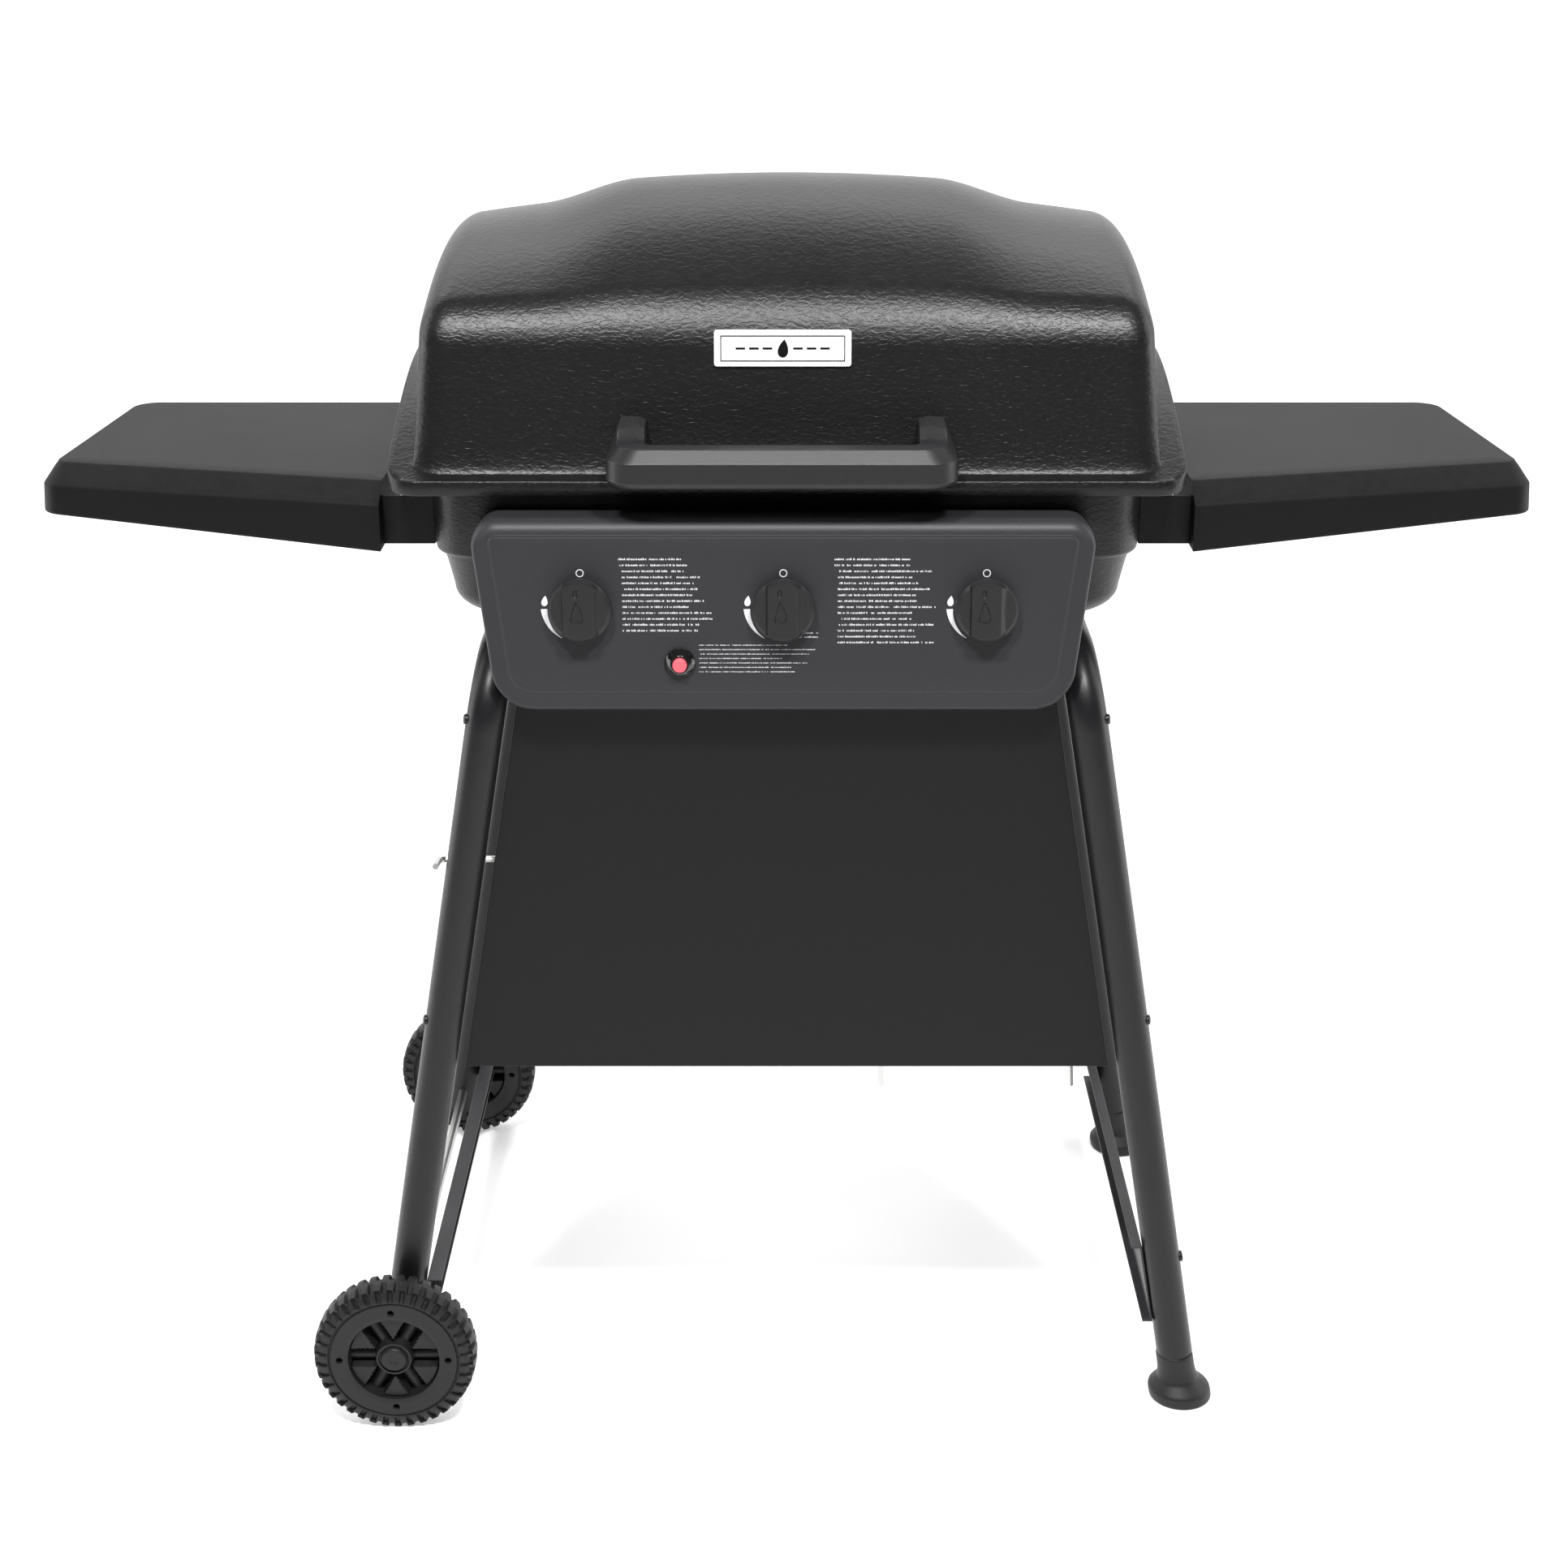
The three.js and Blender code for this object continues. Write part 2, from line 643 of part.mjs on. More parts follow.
function fireboxBody(inset, bottomLift) {
  const level = (z, halfX, y0, y1, radius) =>
    roundedRectangle(-halfX + inset, halfX - inset, y0 + inset, y1 - inset, radius, 3)
      .map(([x, y]) => [x, y, z]);
  const floor = fireboxFloorZ + bottomLift;
  const ledge = ledgeZ + (bottomLift > 0 ? fireboxWall : 0);
  const stepX = fireboxHalfX - (bottomLift > 0 ? ledgeWidth : 5);
  const stepFront = fireboxFrontY + (bottomLift > 0 ? ledgeWidth + 1 : 9);
  const stepRear = fireboxRearY - (bottomLift > 0 ? ledgeWidth + 1 : 9);
  return loft([
    level(floor, fireboxFloorHalfX, -fireboxFloorHalfY, fireboxFloorHalfY, 34),
    level(floor + 4, fireboxFloorHalfX + 16, -fireboxFloorHalfY - 13, fireboxFloorHalfY + 13, 38),
    level(floor + 12, fireboxFloorHalfX + 26, -fireboxFloorHalfY - 21, fireboxFloorHalfY + 21, 42),
    level(floor + 26, fireboxFloorHalfX + 33, -fireboxFloorHalfY - 27, fireboxFloorHalfY + 28, 44),
    level(ledge, stepX, stepFront, stepRear, 44),
    level(ledge, fireboxHalfX, fireboxFrontY, fireboxRearY, 46),
    level(partingFrontZ + partingRise + 30, fireboxHalfX + 2, fireboxFrontY - 2, fireboxRearY + 1, 46),
  ]);
}

const alongY = (x, z, radius, y0, y1) => rod([x, y0, z], [x, y1, z], radius, 16);

function addFirebox() {
  const hollow = fireboxBody(fireboxWall, fireboxWall);
  const shell = cut(fireboxBody(0, 0), pastParting(-gap, true));
  const rim = prism(roundedRectangle(-rimFlangeReach, rimFlangeReach, rimFlangeFrontY,
    rimFlangeRearY, lidCornerRadius, 3), partingFrontZ - 60, partingFrontZ + partingRise + 20)
    .intersect(partingBand(-gap - rimFlangeThickness, -gap));
  const lugs = [];
  const top = grateZ - gap;
  for (const x of lugX) {
    for (const y0 of [fireboxFrontY + 1, fireboxRearY - 1 - lugDepth]) {
      lugs.push(box(x - lugHalf, x + lugHalf, y0, y0 + lugDepth, top - lugHeight, top));
    }
  }
  const holes = knobX.map((x) => alongY(x, burnerZ, burnerRadius + gap, fireboxFrontY - 5, -150));
  holes.push(alongY(electrodeX, electrodeZ, electrodeRadius + gap, fireboxFrontY - 5, -150));
  holes.push(rod([0, 0, fireboxFloorZ - 5], [0, 0, fireboxFloorZ + 10], drainRadius, 16));
  holes.push(rod([-fireboxHalfX - 10, bailPivotY, bailPivotZ],
    [fireboxHalfX + 10, bailPivotY, bailPivotZ], rackPinRadius + runGap, 12));
  add('firebox', cut(join(cut(join(shell, rim), hollow), ...lugs), ...holes), castBlack);
}

const smoothStep = (t) => {
  const c = Math.min(Math.max(t, 0), 1);
  return c * c * (3 - 2 * c);
};

// Height of the lid over a point: leaning walls that round over into a domed top with a raised
// middle. The inset moves every surface inwards.
function lidHeight(x, y, inset) {
  const ax = Math.abs(x);
  const fall = crownBow * ax * ax + crownFall * smoothStep((ax - crownHalfX) / crownEase);
  const fade = 1 - crownFade * ((y - lidTopY) / crownFadeRun) ** 2;
  const top = lidTopZ - inset - lidTopCurve * (y - lidTopY) ** 2 - fall * fade;
  const spring = top - shoulderDrop;
  const fromSide = lidHalfX - inset - ax;
  const fromEnd = Math.min(y - lidFrontY, lidRearY - y) - inset;
  const over = (distance, steepness) =>
    Math.max(1 - (distance - (spring - lidBaseZ) / steepness) / shoulderReach, 0) ** cornerPower;
  const q = (over(fromSide, sideSteepness) + over(fromEnd, wallSteepness)) ** (1 / cornerPower);
  if (q < 1) {
    return top - shoulderDrop * (1 - Math.sqrt(1 - q * q));
  }
  return Math.min(spring - (q - 1) * shoulderReach * wallSteepness,
    lidBaseZ + wallSteepness * fromEnd, lidBaseZ + sideSteepness * fromSide);
}

// The solid under the lid's surface, down to a flat base below the parting line.
function lidDome(inset) {
  const base = partingFrontZ - 28;
  const fine = inset <= 0;
  const endsX = fine ? [0, 14, 20, 26, 33, 44] : [0, 14, 24, 33, 44];
  const endsY = fine ? [0, 9, 17, 23, 29, 37, 50] : [0, 15, 24, 36];
  const halfX = lidHalfX + 6 - inset;
  const middleX = fine ? [70, 100, 120, 140, 160, 180, 250, halfX] : [70, 110, 150, 180, halfX];
  const xs = [...endsX, ...middleX].map((d) => Math.min(-halfX + d, 0));
  const stationsX = [...xs, ...xs.slice(0, -1).reverse().map((x) => -x)];
  const y0 = lidFrontY - 6 + inset;
  const y1 = lidRearY + 6 - inset;
  const span = fine ? [70, 110, 160, 212] : [80, 140, 212];
  const ys = [...endsY, ...span];
  const stationsY = [...ys.map((d) => y0 + d), ...ys.slice(0, -1).reverse().map((d) => y1 - d)];
  const nx = stationsX.length;
  const ny = stationsY.length;
  const positions = [];
  for (const bottom of [false, true]) {
    for (const y of stationsY) {
      for (const x of stationsX) {
        positions.push(x, y, bottom ? base - 4 : Math.max(lidHeight(x, y, inset), base));
      }
    }
  }
  const index = [];
  const under = nx * ny;
  for (let j = 0; j + 1 < ny; j += 1) {
    for (let i = 0; i + 1 < nx; i += 1) {
      const a = j * nx + i;
      const flip = (i < nx / 2) === (j < ny / 2);
      const quad = flip
        ? [[a, a + 1, a + nx + 1], [a, a + nx + 1, a + nx]]
        : [[a, a + 1, a + nx], [a + 1, a + nx + 1, a + nx]];
      for (const [p, q, r] of quad) {
        index.push(p, q, r);
        index.push(under + r, under + q, under + p);
      }
    }
  }
  const wallStrip = (q, p) => index.push(p, under + p, under + q, p, under + q, q);
  for (let i = 0; i + 1 < nx; i += 1) {
    wallStrip(i + 1, i);
    wallStrip((ny - 1) * nx + i, (ny - 1) * nx + i + 1);
  }
  for (let j = 0; j + 1 < ny; j += 1) {
    wallStrip(j * nx, (j + 1) * nx);
    wallStrip((j + 2) * nx - 1, (j + 1) * nx - 1);
  }
  const geometry = new THREE.BufferGeometry();
  geometry.setAttribute('position', new THREE.Float32BufferAttribute(positions, 3));
  geometry.setIndex(index);
  return toSolid(geometry);
}

function addLid() {
  const outline = (inset) => prism(roundedRectangle(-lidFlangeHalfX + inset, lidFlangeHalfX - inset,
    lidFlangeFrontY + inset, lidFlangeRearY - inset, lidCornerRadius - inset, 4),
  partingFrontZ - 60, partingFrontZ + partingRise + 60);
  const dome = cut(lidDome(0), pastParting(0, false));
  const flange = outline(0).intersect(partingBand(0, lidFlangeThickness));
  const lip = cut(outline(0), outline(lidLipWall)).intersect(partingBand(-lidLipDepth, 1));
  const notches = [-1, 1].map((side) => box(side * hingeX - lidNotchHalf, side * hingeX + lidNotchHalf,
    lidRearY - 2, lidFlangeRearY + 5, partingFrontZ, hingeZ + 1.5));
  const pins = rod([-beyond, rackPivotY, rackPivotZ], [beyond, rackPivotY, rackPivotZ],
    rackPinRadius + runGap, 12);
  add('lid', cut(join(dome, flange), lidDome(lidWall), pins).add(lip).subtract(join(...notches)),
    castBlack);
}

function addHandle() {
  const x0 = handleX - handleHalf;
  const x1 = handleX + handleHalf;
  const corner = 26;
  const rootY = lidFrontY + 60;
  const outer = roundedRectangle(x0, x1, handleFrontY, rootY, corner, 4);
  const inner = roundedRectangle(x0 + handleArm, x1 - handleArm, handleBackY, rootY + 30, 16, 3);
  const profile = [
    [handleFrontY - 1, handleBottomZ + 4], [handleFrontY + 8, handleBottomZ],
    [rootY, handleBottomZ + 6], [rootY, handleArmTopZ], [handleBackY + 12, handleArmTopZ - 3],
    [handleBackY - 4, handleTopZ], [handleFrontY + 11, handleTopZ], [handleFrontY - 1, handleTopZ - 10]];
  const body = cut(prism(outer, handleBottomZ - 5, handleArmTopZ + 5), prism(inner, 0, 2000))
    .intersect(prismX(profile, x0 - 5, x1 + 5));
  const overFlange = box(-beyond, beyond, lidFlangeFrontY - gap, 0, 0, lidBaseZ + gap);
  add('handle', cut(body, lidDome(-gap), overFlange), handleGrey);
}

function addBadge() {
  const lean = Math.atan(1 / wallSteepness);
  const rise = badgeZ - lidBaseZ;
  const group = new THREE.Group();
  group.position.set(badgeX, lidFrontY + rise / wallSteepness - gap, badgeZ);
  group.rotation.x = -lean;
  grill.add(group);
  const plate = prismY(roundedRectangle(-badgeWidth / 2, badgeWidth / 2, -badgeHeight / 2,
    badgeHeight / 2, badgeCorner, 3), -badgeThickness, -gap / 3);
  add('badge_plate', plate, brushedAluminium, group);
}

// ---------------------------------------------------------------- hinges
function addHinges() {
  for (const [name, side] of sideNames) {
    const x = side * hingeX;
    const half = hingeLugWidth / 2;
    const pin = (radius, reach) => rod([x - reach, hingeY, hingeZ], [x + reach, hingeY, hingeZ],
      radius, 16);
    const bore = pin(hingePinRadius + runGap, beyond);
    add(`hinge_pin_${name}`, pin(hingePinRadius, half + runGap + hingeEarWidth + 4), brightSteel);
    add(`hinge_bracket_${name}`, hingeBracket(x, half + runGap, bore), sheetBlack);
    add(`lid_lug_${name}`, lidLug(x, half, bore), castBlack);
  }
}

// A plate on the firebox's back wall with two ears that hold the pin.
function hingeBracket(x, earIn, bore) {
  const back = fireboxRearY + 1 + gap;
  const rimZ = partingFrontZ + partingRise;
  const plate = box(x - hingePlateHalf, x + hingePlateHalf, back, back + hingePlateSheet,
    hingePlateBottomZ, rimZ - 8);
  const outline = [[back, hingeZ - 35], [back + 6, hingeZ - 35], [hingeY + 8, hingeZ - 6],
    [hingeY + 8, hingeZ + 4], [hingeY + 3, hingeZ + 8], [hingeY - 4, hingeZ + 7],
    [hingeY - 9, hingeZ], [back, hingeZ - 14]];
  const ears = [x - earIn - hingeEarWidth, x + earIn].map((x0) =>
    prismX(outline, x0, x0 + hingeEarWidth));
  const rimCut = box(x - 30, x + 30, fireboxRearY - 30, rimFlangeRearY + gap,
    rimZ - 2 * gap - rimFlangeThickness, rimZ + 20);
  return cut(join(plate, ...ears), bore, rimCut);
}

// A cast lug on the lid's back wall: a barrel round the pin and an arm up to the wall.
function lidLug(x, half, bore) {
  const rimZ = partingFrontZ + partingRise;
  const barrel = rod([x - half, hingeY, hingeZ], [x + half, hingeY, hingeZ], hingeBarrelRadius, 16);
  const arm = prismX([[hingeY - 6, hingeZ + 3], [hingeY + 7, hingeZ],
    [lidRearY + 8, hingeZ + hingeArmReach], [lidRearY - 16, hingeZ + hingeArmReach],
    [lidRearY - 16, hingeZ + 9], [hingeY - 12, hingeZ + 9]], x - half, x + half);
  const flange = box(-beyond, beyond, 0, lidFlangeRearY + gap, 0, rimZ + lidFlangeThickness + gap);
  const notch = box(x - lidNotchHalf + 1, x + lidNotchHalf - 1, hingeY - 16, beyond, 0, 2 * hingeZ);
  return cut(join(barrel, arm), bore, lidDome(-gap), flange.subtract(notch));
}

// ---------------------------------------------------------------- warming rack and its bail
const couplerY = rackPivotY + (bailPivotY - hingeY);
const couplerZ = rackPivotZ + (bailPivotZ - hingeZ);

function addWarmingRack() {
  const trayZ = rackPivotZ - rackTrayDrop;
  const front = couplerY - rackFrontOverhang;
  const back = rackPivotY + rackOverhang;
  const bars = [front, front + 40, back - 40, back].map((y) =>
    rod([-rackPlateX, y, trayZ], [rackPlateX, y, trayZ], rackRodRadius, 6));
  for (let i = 0; i <= rackBars; i += 1) {
    const x = -rackHalfX + (2 * rackHalfX * i) / rackBars;
    bars.push(box(x - rackBarHalf, x + rackBarHalf, front - 1, back + 1, trayZ + 1.5, trayZ + 5));
  }
  const plates = [-1, 1].map((side) => {
    const x = side * rackPlateX;
    const outline = [[front - 6, trayZ - 5], [couplerY - 7, couplerZ - 9],
      [couplerY + 8, couplerZ - 9], [back + 6, trayZ - 5], [back + 6, trayZ + 8],
      [rackPivotY + 8, rackPivotZ + 8], [rackPivotY - 8, rackPivotZ + 8], [front - 6, trayZ + 8]];
    return cut(prismX(outline, x - 1.5, x + 1.5), rod([x - 5, couplerY, couplerZ],
      [x + 5, couplerY, couplerZ], rackPinRadius + 1, 8));
  });
  const pins = [-1, 1].map((side) => rod([side * (rackPlateX - 1), rackPivotY, rackPivotZ],
    [side * (lidSideX(rackPivotZ) - runGap), rackPivotY, rackPivotZ], rackPinRadius, 8));
  add('warming_rack', join(...bars, ...plates, ...pins), brightSteel);
}

// A wire bail: two arms and a cross bar, with bent ends in the firebox and in the rack's plates.
function addBail() {
  const armX = rackPlateX + 12;
  for (const [name, side] of sideNames) {
    const wire = bentRod([
      [side * (fireboxHalfX - 1), bailPivotY, bailPivotZ], [side * armX, bailPivotY, bailPivotZ],
      [side * armX, couplerY, couplerZ], [side * (rackPlateX - 5), couplerY, couplerZ]],
    rackPinRadius, 6, 0, 6);
    add(`rack_link_${name}`, wire, brightSteel);
  }
}

// ---------------------------------------------------------------- control panel, valves and knobs
// The panel's own frame: x across, y into the grill, z up the face, from the middle knob's axis.
function panelOutline(inset) {
  const top = panelTop - inset;
  const bottom = panelBottom + inset;
  const spread = (panelHalfTop - panelHalfBottom) / (panelTop - panelBottom);
  const half = (z) => panelHalfBottom + spread * (z - panelBottom) - inset;
  const points = [];
  const arc = (cx, cz, radius, from, to, steps) => {
    for (let i = 0; i <= steps; i += 1) {
      const angle = from + ((to - from) * i) / steps;
      points.push([cx + radius * Math.cos(angle), cz + radius * Math.sin(angle)]);
    }
  };
  const lower = panelCorner - inset;
  const upper = panelShoulder - inset;
  arc(half(bottom + lower) - lower, bottom + lower, lower, -Math.PI / 2, 0, 5);
  arc(half(top - upper) - upper, top - upper, upper, 0, Math.PI / 2, 3);
  arc(-half(top - upper) + upper, top - upper, upper, Math.PI / 2, Math.PI, 3);
  arc(-half(bottom + lower) + lower, bottom + lower, lower, Math.PI, 1.5 * Math.PI, 5);
  return points;
}

function addControlPanel() {
  const upper = box(-beyond, beyond, -5, panelDepth, panelBoxBottom, beyond);
  const sheet = panelSheet;
  const rim = prismY(panelOutline(0), 0, panelRim);
  const boxPart = prismY(panelOutline(0), 0, panelDepth).intersect(upper);
  const raised = prismY(panelOutline(panelFieldInset), faceY, 1);
  const outer = join(rim, boxPart, raised);
  const inner = join(prismY(panelOutline(sheet), sheet, beyond),
    prismY(panelOutline(panelFieldInset + sheet), sheet + faceY, 5));
  const holes = [-knobPitch, 0, knobPitch].map((x) =>
    rod([x, -10, 0], [x, 10, 0], stemRadius + 1.5, 12));
  holes.push(rod([igniterX, -10, igniterZ], [igniterX, 10, igniterZ], igniterBody + gap, 16));
  add('control_panel', cut(outer, inner, ...holes), sheetBlack, panelFrame);
}

const pipeY = manifoldY - panelY;

function knob(x) {
  const back = faceY - knobStandOff;
  const front = back - knobDepth;
  const skirt = rod([x, front + skirtSetBack, 0], [x, back, 0], knobRadius, 24);
  const grip = box(x - gripHalf, x + gripHalf, front, back, -knobRadius + 1.5, knobRadius - 1.5);
  const socket = rod([x, front + skirtSetBack - 0.5, 0], [x, back + 1, 0], stemRadius + gap, 12);
  return cut(join(skirt, grip), socket);
}

// A valve body with the jet that feeds its burner and a neck down to the gas pipe.
function valve(x, stemBack, pipe) {
  const front = panelSheet + gap;
  const back = front + valveLength;
  const body = rod([x, front, 0], [x, back, 0], valveRadius, 12);
  const jet = rod([x, back - 1, 0], [x, burnerFrontY - panelY + 8, 0], 4, 8);
  const neck = rod([x, pipeY, 0], [x, pipeY, -manifoldDrop + manifoldRadius - 2], 6, 8);
  const bore = rod([x, front - 1, 0], [x, stemBack + knobPush + 1, 0], stemRadius + runGap, 12);
  return cut(join(body, jet, neck), bore, pipe);
}

function addKnobsAndValves() {
  const stemFront = faceY - knobStandOff - knobDepth + skirtSetBack + gap;
  const stemBack = stemFront + stemLength;
  const along = (x0, x1, radius, sides) =>
    rod([x0, pipeY, -manifoldDrop], [x1, pipeY, -manifoldDrop], radius, sides);
  const pipe = along(-beyond, beyond, manifoldRadius + gap, 16);
  ['left', 'middle', 'right'].forEach((name, i) => {
    const x = (i - 1) * knobPitch;
    add(`knob_${name}`, knob(x), handleGrey, panelFrame);
    add(`valve_stem_${name}`, rod([x, stemFront, 0], [x, stemBack, 0], stemRadius, 12), brass,
      panelFrame);
    add(`valve_${name}`, valve(x, stemBack, pipe), brass, panelFrame);
  });
  const end = inletX - panelX;
  const nut = along(end - inletNutLength, end, inletNutRadius, 6);
  const bore = along(end - inletNutLength + 2, end + 1, inletBore, 12);
  add('manifold', cut(join(along(-knobPitch - manifoldOverrun, end, manifoldRadius, 16), nut), bore),
    burnerSteel, panelFrame);
}

function addIgniter() {
  const x = igniterX;
  const z = igniterZ;
  const profile = [
    [buttonRadius + runGap, faceY - bezelDepth], [buttonRadius + 1.6, faceY - bezelDepth],
    [igniterBezel, faceY - 1.5], [igniterBezel, faceY - gap], [igniterBody, faceY - gap],
    [igniterBody, igniterBodyLength], [0, igniterBodyLength], [0, buttonPocket],
    [buttonRadius + runGap, buttonPocket], [buttonRadius + runGap, faceY - bezelDepth]];
  const housing = turned(profile, 16).rotate([-90, 0, 0]).translate([x, 0, z]);
  add('igniter_housing', housing, glossBlack, panelFrame);
  add('igniter_button', rod([x, faceY - bezelDepth - buttonPush, z],
    [x, buttonPocket - buttonPush - 2, z], buttonRadius, 16), buttonRed, panelFrame);
  add('igniter_electrode', rod([electrodeX, electrodeFrontY, electrodeZ],
    [electrodeX, electrodeRearY, electrodeZ], electrodeRadius, 12), ceramicWhite);
  const rear = new THREE.Vector3(x, igniterBodyLength + gap, z);
  panelFrame.updateMatrixWorld();
  panelFrame.localToWorld(rear);
  const [ex, ey, ez] = [electrodeX, electrodeFrontY - gap, electrodeZ];
  const route = [[rear.x, rear.y, rear.z], [rear.x, rear.y + 8, rear.z],
    [rear.x + 8, rear.y + 12, rear.z + 12], [ex - 14, ey + 5, ez - 12], [ex - 9, ey - 6, ez - 2],
    [ex - 2, ey - 8, ez], [ex, ey, ez]];
  add('igniter_lead', bentRod(route, leadRadius, 6, 14), glossBlack);
}

// ---------------------------------------------------------------- burners, tents and grates
function addBurners() {
  const names = ['left', 'middle', 'right'];
  names.forEach((name, i) => {
    const x = knobX[i];
    const inner = burnerRadius - burnerWall;
    const length = burnerRearY - burnerFrontY;
    const tube = turned([[inner, 0], [burnerRadius, 0], [burnerRadius, length], [0, length],
      [0, length - burnerWall], [inner, length - burnerWall], [inner, 0]], 16)
      .rotate([-90, 0, 0]).translate([x, burnerFrontY, burnerZ]);
    const leg = box(x - 10, x + 10, burnerRearY - 1, burnerRearY + 1,
      fireboxFloorZ + fireboxWall + gap + 26, burnerZ);
    add(`burner_${name}`, join(tube, leg), burnerSteel);
    const edge = ledgeZ + fireboxWall + gap;
    const tent = prismY([[x - tentHalf, edge], [x - tentHalf + 2, edge], [x, edge + tentRise - 1.6],
      [x + tentHalf - 2, edge], [x + tentHalf, edge], [x, edge + tentRise]],
    fireboxFrontY + fireboxWall + 2, fireboxRearY - fireboxWall - 2);
    add(`heat_tent_${name}`, tent, enamelBlack);
  });
  const z = burnerZ + burnerRadius + gap + carryoverRadius;
  add('carryover_tube', rod([knobX[0] - 12, carryoverY, z], [knobX[2] + 12, carryoverY, z],
    carryoverRadius, 10), burnerSteel);
}

function addGrates() {
  const y0 = fireboxFrontY + fireboxWall + 3;
  const y1 = fireboxRearY - fireboxWall - 3;
  const inner = grateInnerX;
  const outer = fireboxHalfX - fireboxWall - 4;
  const z1 = grateZ + grateThickness;
  for (const [name, side] of sideNames) {
    const bar = (xa, xb, ya, yb, low = grateZ) =>
      box(Math.min(side * xa, side * xb), Math.max(side * xa, side * xb), ya, yb, low, z1);
    const parts = [bar(inner, outer, y0, y0 + grateBorder), bar(inner, outer, y1 - grateBorder, y1),
      bar(inner, inner + 8, y0, y1), bar(outer - 8, outer, y0, y1), bar(inner, outer, -4, 4)];
    for (let i = 1; i < grateBars; i += 1) {
      const x = inner + 4 + ((outer - inner - 8) * i) / grateBars;
      parts.push(bar(x - grateBarWidth / 2, x + grateBarWidth / 2, y0 + 4, y1 - 4, grateZ + 1));
    }
    const corners = [[y0, 1], [y1, -1]].map(([y, s]) => {
      const points = [[side * (outer + 1), y - s], [side * (outer + 1), y + s * grateCorner],
        [side * (outer - grateCorner), y - s]];
      return prism(side * s > 0 ? points : points.slice().reverse(), grateZ - 5, z1 + 5);
    });
    add(`grate_${name}`, cut(join(...parts), ...corners), enamelBlack);
  }
}

// ---------------------------------------------------------------- shelves and their brackets
// Outline of a shelf seen from above, for the right side, at some level of its edge.
function shelfOutline(flare, forward) {
  const slope = (creaseOuterY - creaseInnerY) / (shelfOuterX - shelfInnerX);
  const frontAt = (x) => creaseInnerY + slope * (x - shelfInnerX) - forward;
  const taper = shelfTaper / (shelfRearY - creaseOuterY);
  const taperTurn = Math.atan(taper);
  const outerAt = (y) => shelfOuterX + flare - taper * (y - creaseOuterY);
  const points = [[shelfInnerX, frontAt(shelfInnerX)]];
  const radius = shelfFrontCorner + forward * 0.3;
  const frontTurn = Math.atan(slope);
  const reach = radius / Math.cos(frontTurn);
  const cx = (outerAt(frontAt(0) + reach) - radius / Math.cos(taperTurn)) / (1 + taper * slope);
  const steps = 4;
  const addCorner = (x, y, size, from, to) => {
    for (let i = 0; i <= steps; i += 1) {
      const angle = from + ((to - from) * i) / steps;
      points.push([x + size * Math.cos(angle), y + size * Math.sin(angle)]);
    }
  };
  addCorner(cx, frontAt(cx) + reach, radius, frontTurn - Math.PI / 2, taperTurn);
  const rearY = shelfRearY - shelfCorner;
  addCorner(outerAt(rearY) - shelfCorner / Math.cos(taperTurn), rearY, shelfCorner, taperTurn,
    Math.PI / 2);
  points.push([shelfInnerX, shelfRearY]);
  return points;
}

function shelfBody(inset) {
  const shrink = (points) => points.map(([x, y]) => {
    const cx = (shelfInnerX + shelfOuterX) / 2;
    const cy = (creaseInnerY + shelfRearY) / 2;
    return [x + Math.sign(cx - x) * inset, y + Math.sign(cy - y) * inset];
  });
  const level = (flare, forward, z) =>
    shrink(shelfOutline(flare, forward)).map(([x, y]) => [x, y, z]);
  const bottom = shelfTopZ - shelfInnerDrop - 20;
  return loft([
    level(shelfFlare + 1, chamferReach + 2, bottom - (inset > 0 ? 5 : 0)),
    level(shelfFlare, chamferReach, shelfTopZ - chamferDrop - inset),
    level(0, 0, shelfTopZ - inset),
  ]);
}

// What is below the sloping lower edge: deep at the grill's front, shallow at the end and back.
function belowShelfEdge() {
  const low = shelfTopZ - 200;
  const below = (inner, outer) => [[shelfInnerX - 5, shelfTopZ - inner],
    [shelfOuterX + 20, shelfTopZ - outer], [shelfOuterX + 20, low], [shelfInnerX - 5, low]];
  return join(prismY(below(shelfInnerDrop, shelfOuterDrop), -beyond, beyond),
    prismY(below(shelfSideDrop, shelfSideDrop), apronEndY, beyond));
}

function addShelves() {
  const slots = [-bracketY, bracketY].map((y) => box(shelfInnerX - 1, shelfInnerX + shelfWall + 2,
    y - bracketSheet / 2 - gap, y + bracketSheet / 2 + gap, 0, bracketTop + gap));
  const right = cut(shelfBody(0), shelfBody(shelfWall), belowShelfEdge(), ...slots);
  for (const [name, side] of sideNames) {
    add(`shelf_${name}`, side > 0 ? right : right.mirror([1, 0, 0]), mouldedBlack);
    for (const [end, y] of [['front', -bracketY], ['rear', bracketY]]) {
      add(`shelf_bracket_${name}_${end}`, shelfBracket(side, y), sheetBlack);
    }
  }
}

// An angle bracket: a web out from the firebox through a slot in the shelf's inner wall, a foot
// on the firebox and a pad under the shelf's top.
function shelfBracket(side, y) {
  const inward = y < 0 ? 1 : -1;
  const start = fireboxHalfX + 1.5 + gap;
  const low = bracketTop - bracketHeight;
  const outline = [[start, low], [shelfInnerX + 6, low], [bracketReach, bracketTop - 16],
    [bracketReach, bracketTop], [start, bracketTop]];
  const web = prismY(outline, y - bracketSheet / 2, y + bracketSheet / 2);
  const [y0, y1] = [y, y + inward * 22].sort((a, b) => a - b);
  const foot = box(start, start + bracketSheet, y0, y1, low, bracketTop);
  const pad = box(shelfInnerX + 8, bracketReach, y0, y1, bracketTop - bracketSheet, bracketTop);
  const right = join(web, foot, pad);
  return side > 0 ? right : right.mirror([1, 0, 0]);
}

